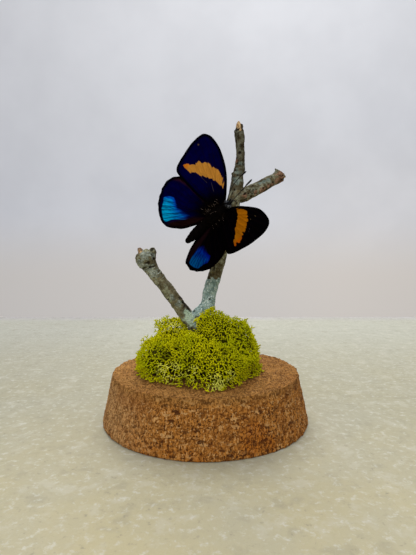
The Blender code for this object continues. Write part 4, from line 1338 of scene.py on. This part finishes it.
def build_limbs():
    look = limb_look()
    feelers = Shape("club")
    for route in ANTENNAE.values():
        samples = smooth_route(route, FEELER_STEP)
        ringed = [
            (PLACED @ sample.xyz, sample.w * (1 + 0.12 * math.cos(math.pi * i)))
            for i, sample in enumerate(samples)
        ]
        club = [min(1.0, max(0.0, (sample.w - 0.2) * 8)) for sample in samples]
        feelers.tube(ringed, LIMB_SIDES, club=club)
    butterfly_piece(feelers, "antennae", look, False)
    legs = Shape("club")
    stem = smooth_route(STEM_ROUTE, STEM_STEP)
    for root, outward, height, turn in LEGS.values():
        hip = Vector((root, outward, -1.2))
        grip = stem_grip(stem, height, turn)
        toe = stem_grip(stem, height - 0.5, turn + math.copysign(28, turn))
        knee = hip.lerp(grip, 0.45) + Vector((0.0, math.copysign(1.6, outward), 0.0))
        route = [(*place, radius) for place, radius in zip((hip, knee, grip, toe), LEG_RADII)]
        legs.limb(route, LIMB_STEP, LIMB_SIDES, PLACED, club=0.2)
    for side in (1, -1):
        route = [(x, side * y, z, radius) for x, y, z, radius in FORELEG]
        legs.limb(route, LIMB_STEP, LIMB_SIDES, PLACED, club=0.2)
    butterfly_piece(legs, "legs", look, False)


def build_hair():
    """Hair on the thorax, the head and the wing roots."""
    rng = random.Random(7)
    shape = Shape("pale")
    profile = np.array(BODY_PROFILE).T
    for _ in range(BODY_HAIRS):
        forward = rng.uniform(-5.0, 7.6)
        turn = rng.uniform(0, math.tau)
        out = Vector((0.0, math.cos(turn), math.sin(turn)))
        start = Vector((forward, 0.0, 0.0)) + out * np.interp(forward, *profile) * 0.9
        towards = (out + Vector((rng.uniform(-1.5, -0.3), 0, 0)) + any_direction(rng) * 0.35).normalized()
        length = rng.uniform(0.6, 1.5) * (1.2 if -2 < forward < 4 else 0.7)
        samples = []
        for share in HAIR_SHARES:
            bend = Vector((-0.35 * share * share * length, 0.0, 0.0))
            samples.append((PLACED @ (start + towards * length * share + bend), 0.055 * (1 - 0.75 * share)))
        # Pale hairs: partly dust, partly painted highlight.
        shape.tube(samples, 3, pale=1.0 if rng.random() < 0.005 else rng.uniform(0, 0.3))
    for poses, root, drop in ((FOREWINGS, FOREWING_ROOT, 0.0), (HINDWINGS, HINDWING_ROOT, HINDWING_DROP)):
        for (side, pose), _ in itertools.product(poses.items(), range(WING_HAIRS)):
            outward = abs(rng.gauss(0, 2.2))
            forward = root[0] + rng.uniform(-1, 1) * (1.2 + outward * 0.35)
            heading = rng.uniform(-0.5, 0.5)
            length = rng.uniform(0.7, 1.8)
            samples = []
            for share in HAIR_SHARES:
                reach = length * share
                point = (forward + math.sin(heading) * reach, outward + math.cos(heading) * reach)
                height = 0.1 + 0.5 * share * (1 - share) + 0.25
                samples.append((wing_place(point, pose, drop, height), 0.05 * (1 - 0.7 * share)))
            shape.tube(samples, 3, pale=1.0 if rng.random() < PALE_HAIRS[side] else rng.uniform(0, 0.25))
    butterfly_piece(shape, "hair", hair_look(), False)


def body_look():
    look = Look("butterfly_body", 0.9, 0.02)
    fine = look.noise(1500.0, 4.0)
    tone = fine.tint(0.35, 0.7, (0.0006, 0.0004, 0.0004), (0.0035, 0.0022, 0.0018))
    # Grey-blue flecks on the head: painted highlight.
    head_highlights = look.noise(900.0).tint(0.5, 0.62, (0.005, 0.005, 0.006), (0.09, 0.095, 0.105))
    return look.finished(look.attribute("fore").tint(5.0, 6.5, tone, head_highlights), fine, 0.0003, 0.6)


def eye_look():
    look = Look("butterfly_eye", 0.22)
    facets = look.cells(9000.0)
    tone = facets.tint(0.1, 0.6, (0.05, 0.055, 0.06), (0.012, 0.012, 0.014))
    return look.finished(tone, facets, 0.00005)


def limb_look():
    look = Look("butterfly_limb", 0.7, 0.15)
    fine = look.noise(2200.0)
    tone = fine.tint(0.35, 0.65, (0.003, 0.0025, 0.002), (0.012, 0.009, 0.007))
    return look.finished(tone, fine, 0.0002)


def hair_look():
    look = Look("butterfly_hair", 0.9, 0.0)
    fine = look.noise(1200.0, 2.0, 0.5)
    dark = fine.tint(0.35, 0.65, (0.0012, 0.0008, 0.0007), (0.007, 0.004, 0.0025))
    # Pale hair colour: partly dust, partly painted highlight.
    return look.finished(look.attribute("pale").tint(0.5, 1.0, dark, (0.25, 0.19, 0.15)))


def build_butterfly():
    looks = {side: wing_look(f"wing_scales_as_lit_{side}", *colours) for side, colours in WING_COLOURS_AS_LIT.items()}
    for side, pose in FOREWINGS.items():
        build_wing(
            f"{side}_forewing", looks[side], FOREWING_OUTLINES[side], FOREWING_ROOT, FOREWING_VEINS, pose,
            0.0, FOREWING_SCALLOP, band=(BANDS[side],), spot=SPOTS[side], scratch=SCRATCHES[side],
        )
    for side, pose in HINDWINGS.items():
        build_wing(
            f"{side}_hindwing", looks[side], HINDWING_OUTLINES[side], HINDWING_ROOT, HINDWING_VEINS, pose,
            HINDWING_DROP, HINDWING_SCALLOPS[side], blue=(BLUES[side],), brown=BROWNS[side],
            line=PATCH_LINES[side],
        )
    build_body()
    build_limbs()
    build_hair()


# Setting, in metres

FLOOR_REACH, FLOOR_END = 1.5, 0.266
WALL_REACH, WALL_AT = 2.4, 1.8
LIGHT_TARGET = (0.0, 0.0, 0.05)
# Each light: its place, what it faces, its size, its power and its colour
LIGHTS = {
    "key": ((-0.08, 0.62, 1.10), LIGHT_TARGET, 0.7, 11.0, (1.0, 0.98, 0.95)),
    "fill": ((-0.2, -1.3, 0.8), LIGHT_TARGET, 1.0, 10.5, (0.98, 0.98, 1.0)),
    "wall_light": ((0.35, 0.5, 2.3), (0.4, WALL_AT, 0.0), 1.2, 19.0, (1.0, 1.0, 1.0)),
}
WORLD_COLOUR, WORLD_STRENGTH = (0.92, 0.94, 1.0, 1.0), 0.5
# The photo's view, fitted to the cork's rims
CAMERA_PLACE, CAMERA_TURN, CAMERA_LENS = (0.0, -0.15622, 0.0591), (87.442, 0.0, -0.334), 27.05


def floor_look():
    look = Look("floor", 0.85, 0.2)
    across, deep = look.axis("X"), look.axis("Y")
    fine = look.noise(420.0, 5.0, 0.7)
    mottle = look.noise(130.0)
    # Darker at the left back: painted shadow.
    painted_shadow_left_back = across.ramp(0.0, -0.14) * deep.ramp(-0.06, 0.16, 1.0, 0.45)
    tone = look.layered(
        deep.tint(-0.10, 0.02, (0.435, 0.385, 0.235), (0.350, 0.330, 0.235)),
        (deep.ramp(0.02, 0.20), (0.395, 0.395, 0.330)),
        (deep.ramp(FLOOR_END - 0.035, FLOOR_END), (0.386, 0.373, 0.367)),
        (look.noise(30.0, 4.0).ramp(0.35, 0.65, 0.35), (0.35, 0.345, 0.28)),
        (mottle.ramp(0.53, 0.68, 0.32), (0.50, 0.48, 0.40)),
        (mottle.ramp(0.45, 0.32, 0.32), (0.27, 0.255, 0.185)),
        (fine.ramp(0.52, 0.70, 0.65), (0.54, 0.53, 0.46)),
        (fine.ramp(0.42, 0.28, 0.75), (0.25, 0.235, 0.17)),
        (painted_shadow_left_back, (0.84, 0.84, 0.86), "MULTIPLY"),
    )
    return look.finished(tone, fine + mottle * 1.5, 0.0016)


def wall_look():
    look = Look("wall", 0.9)
    up = look.axis("Z")
    cool = look.noise(3.0).tint(0.3, 0.7, (0.77, 0.775, 0.80), (0.82, 0.825, 0.85))
    # Lighter at the lower right: painted light.
    painted_light_right = look.axis("X").ramp(0.1, 0.7) * up.ramp(0.75, 0.25)
    tone = up.tint(-0.05, 0.30, (0.79, 0.745, 0.69), cool)
    return look.finished(look.mix(painted_light_right, tone, (1.08, 1.06, 1.03), "MULTIPLY"))


def sheet(name, corners, look):
    """A flat sheet with these two rows of corners."""
    shape = Shape()
    shape.grid([[Vector(corner) for corner in row] for row in corners], {}, closed=False, capped=False)
    return shape.piece(name, look, 1.0)


def build_setting():
    ground = sheet("floor", [
        [(x, y, 0.0) for x in (-FLOOR_REACH, FLOOR_REACH)] for y in (-FLOOR_REACH, FLOOR_END)
    ], floor_look())
    backdrop = sheet("wall", [
        [(x, WALL_AT, z) for x in (-WALL_REACH, WALL_REACH)] for z in (-0.6, 2.4)
    ], wall_look())


def build_lights():
    for name, (place, target, size, power, colour) in LIGHTS.items():
        data = bpy.data.lights.new(name, "AREA")
        data.shape = "DISK"
        data.size, data.energy, data.color = size, power, colour
        lamp = bpy.data.objects.new(name, data)
        bpy.context.scene.collection.objects.link(lamp)
        lamp.location = place
        lamp.rotation_euler = (Vector(target) - Vector(place)).to_track_quat("-Z", "Y").to_euler()
    world = bpy.data.worlds.new("studio")
    bpy.context.scene.world = world
    world.use_nodes = True
    shade = world.node_tree.nodes["Background"]
    shade.inputs["Color"].default_value = WORLD_COLOUR
    shade.inputs["Strength"].default_value = WORLD_STRENGTH


def build_camera():
    data = bpy.data.cameras.new("camera")
    data.lens = CAMERA_LENS
    data.sensor_width = 36.0
    data.clip_start = 0.01
    camera = bpy.data.objects.new("camera", data)
    bpy.context.scene.collection.objects.link(camera)
    camera.location = CAMERA_PLACE
    camera.rotation_euler = [math.radians(angle) for angle in CAMERA_TURN]
    bpy.context.scene.camera = camera
    bpy.context.scene.view_settings.view_transform = "Standard"


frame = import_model()
build_camera()
build_setting()
build_lights()
build_cork()
build_twig()
build_moss()
build_butterfly()
